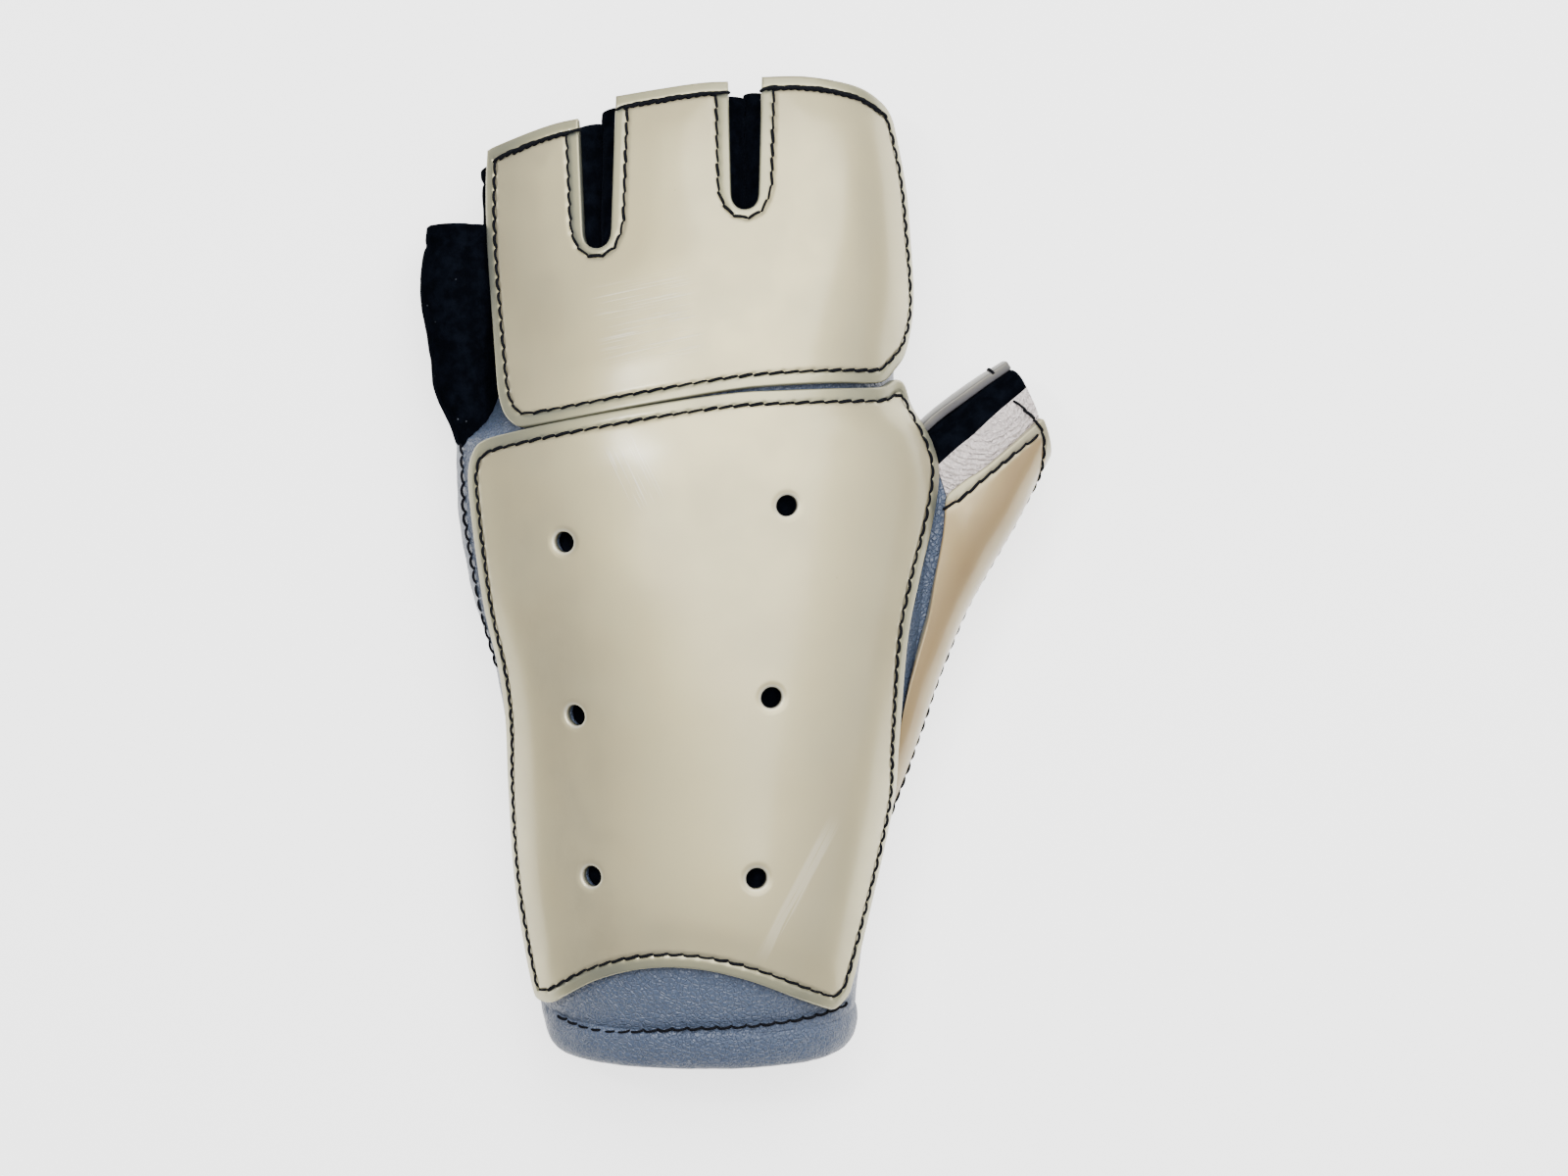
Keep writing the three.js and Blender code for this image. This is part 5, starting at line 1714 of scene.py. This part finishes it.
class GLOVE_OT_cloth_sleeves(bpy.types.Operator):
    """Make the cloth sleeves of the fingers"""
    bl_idname = "glove.cloth_sleeves"
    bl_label = "Cloth Sleeves"

    def execute(self, context):
        angles = np.linspace(0, 2 * math.pi, SLEEVE_SIDES, endpoint=False)
        for cell in FINGER_CELLS:
            loops = [sleeve_loop(cell, share, drawn, angles) for share, drawn in sleeve_rows(SLEEVE_STEPS)]
            piece = tube_piece(cell[0].replace("sleeve", "cloth"), loops)
            finished(piece, finish_of("cloth_finish"), "black_cloth", cell[0])
        first, last = LITTLE_ROWS[0][0], LITTLE_ROWS[-1][0]
        loops = []
        for share, drawn in sleeve_rows(LITTLE_STEPS):
            folds = little_folds(min(share, 1), angles)
            loops.append(little_loop(first + (last - first) * share, drawn + folds, len(angles)))
        piece = tube_piece("little_cloth", loops)
        finished(piece, finish_of("cloth_finish"), "black_cloth", "little_sleeve")
        return {"FINISHED"}


def thumb_wall(name, start_angle, end_angle, stations, inside_depth, relief=None):
    """A wall of the thumb's tube between two angles in degrees, which lean near the top seam."""
    columns = round((end_angle - start_angle) / THUMB_WALL_TURN) + 1
    angles = np.radians(np.linspace(start_angle, end_angle, columns))

    def place(angle, station, depth):
        lean = math.radians(THUMB_SEAM_LEAN) * np.minimum(station, THUMB_LEAN_STATIONS)
        near_seam = np.maximum(0, np.cos(angle - math.radians(THUMB_TOP_SEAM)))
        return thumb_place(station, angle - lean * near_seam, depth)

    return wall_piece(name, place, angles, stations, LEATHER_OUTSIDE, inside_depth, relief)


class GLOVE_OT_thumb_tube(bpy.types.Operator):
    """Make the thumb's leather, cloth and gusset"""
    bl_idname = "glove.thumb_tube"
    bl_label = "Thumb Tube"

    def execute(self, context):
        stations = np.linspace(0, THUMB_ROOT, THUMB_STEPS)
        first, last = THUMB_UNDER_SEAM + THUMB_GAP, 360 + THUMB_TOP_SEAM - THUMB_GAP
        relief = soft_push(amount=0.4, size=8, seed=5)
        leather = thumb_wall(
            "thumb_leather_skin", THUMB_TOP_SEAM, THUMB_UNDER_SEAM, stations, LEATHER_INSIDE, relief,
        )
        folds = soft_push(amount=0.4, size=8, seed=6)
        cloth = thumb_wall("thumb_cloth", first, last, stations, CLOTH_INSIDE, folds)
        rows = np.linspace(GUSSET_STATION, THUMB_ROOT, GUSSET_STEPS)
        gusset = thumb_wall("thumb_gusset_skin", *GUSSET_ANGLES, rows, LEATHER_INSIDE)
        for piece in (leather, cloth, gusset):
            cut_with(piece, hand_block(LEATHER_OUTSIDE + THUMB_LAP))
        first, last = GUSSET_ANGLES[0] - GUSSET_ROOM, GUSSET_ANGLES[1] + GUSSET_ROOM
        rows = np.linspace(GUSSET_STATION - 0.02, THUMB_ROOT + 0.2, GUSSET_STEPS)
        for piece in (leather, cloth):
            cut_with(piece, thumb_wall("gusset_room", first, last, rows, LEATHER_INSIDE + 1))
        finished(leather, finish_of("white_finish"), "white_leather", "thumb_leather")
        finished(cloth, finish_of("cloth_finish"), "black_cloth", "thumb_sleeve")
        finished(gusset, finish_of("blue_finish"), "blue_leather", "thumb_gusset")
        return {"FINISHED"}


class GLOVE_OT_stitches(bpy.types.Operator):
    """Sew the sheets down"""
    bl_idname = "glove.stitches"
    bl_label = "Stitches"

    def execute(self, context):
        look = context.scene.glove_threads
        seams = sheet_seams()
        thread = finish_of("thread_finish")
        thin = {"Length": look.pitch * 0.9, "Radius": look.radius, "Rise": 0.8, "Sink": 0.2, "Slant": 0.15}
        thick = {"Length": look.pitch * 1.2, "Radius": look.radius * 1.2}
        thick.update({"Rise": 1.0, "Sink": 0.1, "Slant": 0.36})
        close = {**thin, "Length": look.pitch}
        thumb = [seam for sheet in thumb_sheets() for seam in sheet[-1]]
        for name, sewn, sizes in (
            ("sheet_stitches", seams["finger"] + seams["hand"], thin),
            ("tip_stitches", seams["tips"], thick),
            ("thumb_stitches", thumb, close),
            ("leather_stitches", list(leather_seams().values()), thin),
        ):
            finished(sewn_piece(name, sewn, thread, sizes), thread, "black_cloth")
        return {"FINISHED"}


class GLOVE_OT_stage(bpy.types.Operator):
    """Make the floor, the lights and the camera"""
    bl_idname = "glove.stage"
    bl_label = "Stage"

    def execute(self, context):
        look = context.scene.glove_stage
        scene = context.scene
        mesh = bpy.data.meshes.new("floor")
        reach = FLOOR_REACH
        corners = [(-reach, -reach), (reach, -reach), (reach, reach), (-reach, reach)]
        mesh.from_pydata([(x, y, FLOOR_HEIGHT) for x, y in corners], [], [(0, 1, 2, 3)])
        floor = bpy.data.objects.new("floor", mesh)
        scene.collection.objects.link(floor)
        material, tree, shader, place = new_material("floor_paper", look.floor_colour, {
            "Roughness": 0.9,
            "Specular IOR Level": 0.0,
            "Emission Color": (1, 1, 1, 1),
            "Emission Strength": look.floor_glow,
        })
        mottled = range_node(tree, noise_node(tree, place, scale=3.0), 0.3, 0.7, 0.97, 1.0)
        paper = mix_node(tree, mottled, FLOOR_SHADE, look.floor_colour)
        set_inputs(tree, shader, {"Base Color": paper})
        mesh.materials.append(material)
        floor.visible_diffuse = False

        world = bpy.data.worlds.new("studio")
        scene.world = world
        world.use_nodes = True
        background = world.node_tree.nodes["Background"]
        background.inputs[0].default_value = (1, 1, 1, 1)
        background.inputs[1].default_value = look.world_strength

        for name, width, length, spot in LIGHTS:
            data = bpy.data.lights.new(f"{name}_light", "AREA")
            data.energy = getattr(look, f"{name}_power")
            data.shape = "RECTANGLE"
            data.size = width
            data.size_y = length
            lamp = bpy.data.objects.new(f"{name}_light", data)
            lamp.location = spot
            lamp.rotation_euler = (-Vector(spot)).to_track_quat("-Z", "Y").to_euler()
            scene.collection.objects.link(lamp)

        data = bpy.data.cameras.new("camera")
        data.lens = look.lens
        data.clip_start = 0.01
        camera = bpy.data.objects.new("camera", data)
        camera.location = (*CAMERA_PLACE, look.camera_height)
        scene.collection.objects.link(camera)
        scene.camera = camera
        return {"FINISHED"}


OPERATORS = (
    GLOVE_OT_stage,
    GLOVE_OT_hand_sheets,
    GLOVE_OT_thumb_sheets,
    GLOVE_OT_hand_leather,
    GLOVE_OT_cuff_hem,
    GLOVE_OT_cloth_sleeves,
    GLOVE_OT_thumb_tube,
    GLOVE_OT_stitches,
)
SETTINGS = (
    ("glove_sheets", SheetLook),
    ("glove_soft", SoftLook),
    ("glove_threads", ThreadLook),
    ("glove_stage", StageLook),
)


class GLOVE_PT_panel(bpy.types.Panel):
    """Makes the glove piece by piece"""
    bl_idname = "GLOVE_PT_panel"
    bl_label = "Target Shooting Glove"
    bl_space_type = "VIEW_3D"
    bl_region_type = "UI"
    bl_category = "Glove"

    def draw(self, context):
        for key, group in SETTINGS:
            box = self.layout.box()
            for name in group.__annotations__:
                box.prop(getattr(context.scene, key), name)
        for operator in OPERATORS:
            self.layout.operator(operator.bl_idname)


def register():
    for key, group in SETTINGS:
        bpy.utils.register_class(group)
        setattr(bpy.types.Scene, key, PointerProperty(type=group))
    for operator in OPERATORS:
        bpy.utils.register_class(operator)
    bpy.utils.register_class(GLOVE_PT_panel)


def unregister():
    bpy.utils.unregister_class(GLOVE_PT_panel)
    for operator in reversed(OPERATORS):
        bpy.utils.unregister_class(operator)
    for key, group in reversed(SETTINGS):
        delattr(bpy.types.Scene, key)
        bpy.utils.unregister_class(group)


def main():
    """Makes the whole glove."""
    register()
    for operator in OPERATORS:
        group, name = operator.bl_idname.split(".")
        getattr(getattr(bpy.ops, group), name)()


if __name__ == "__main__":
    main()
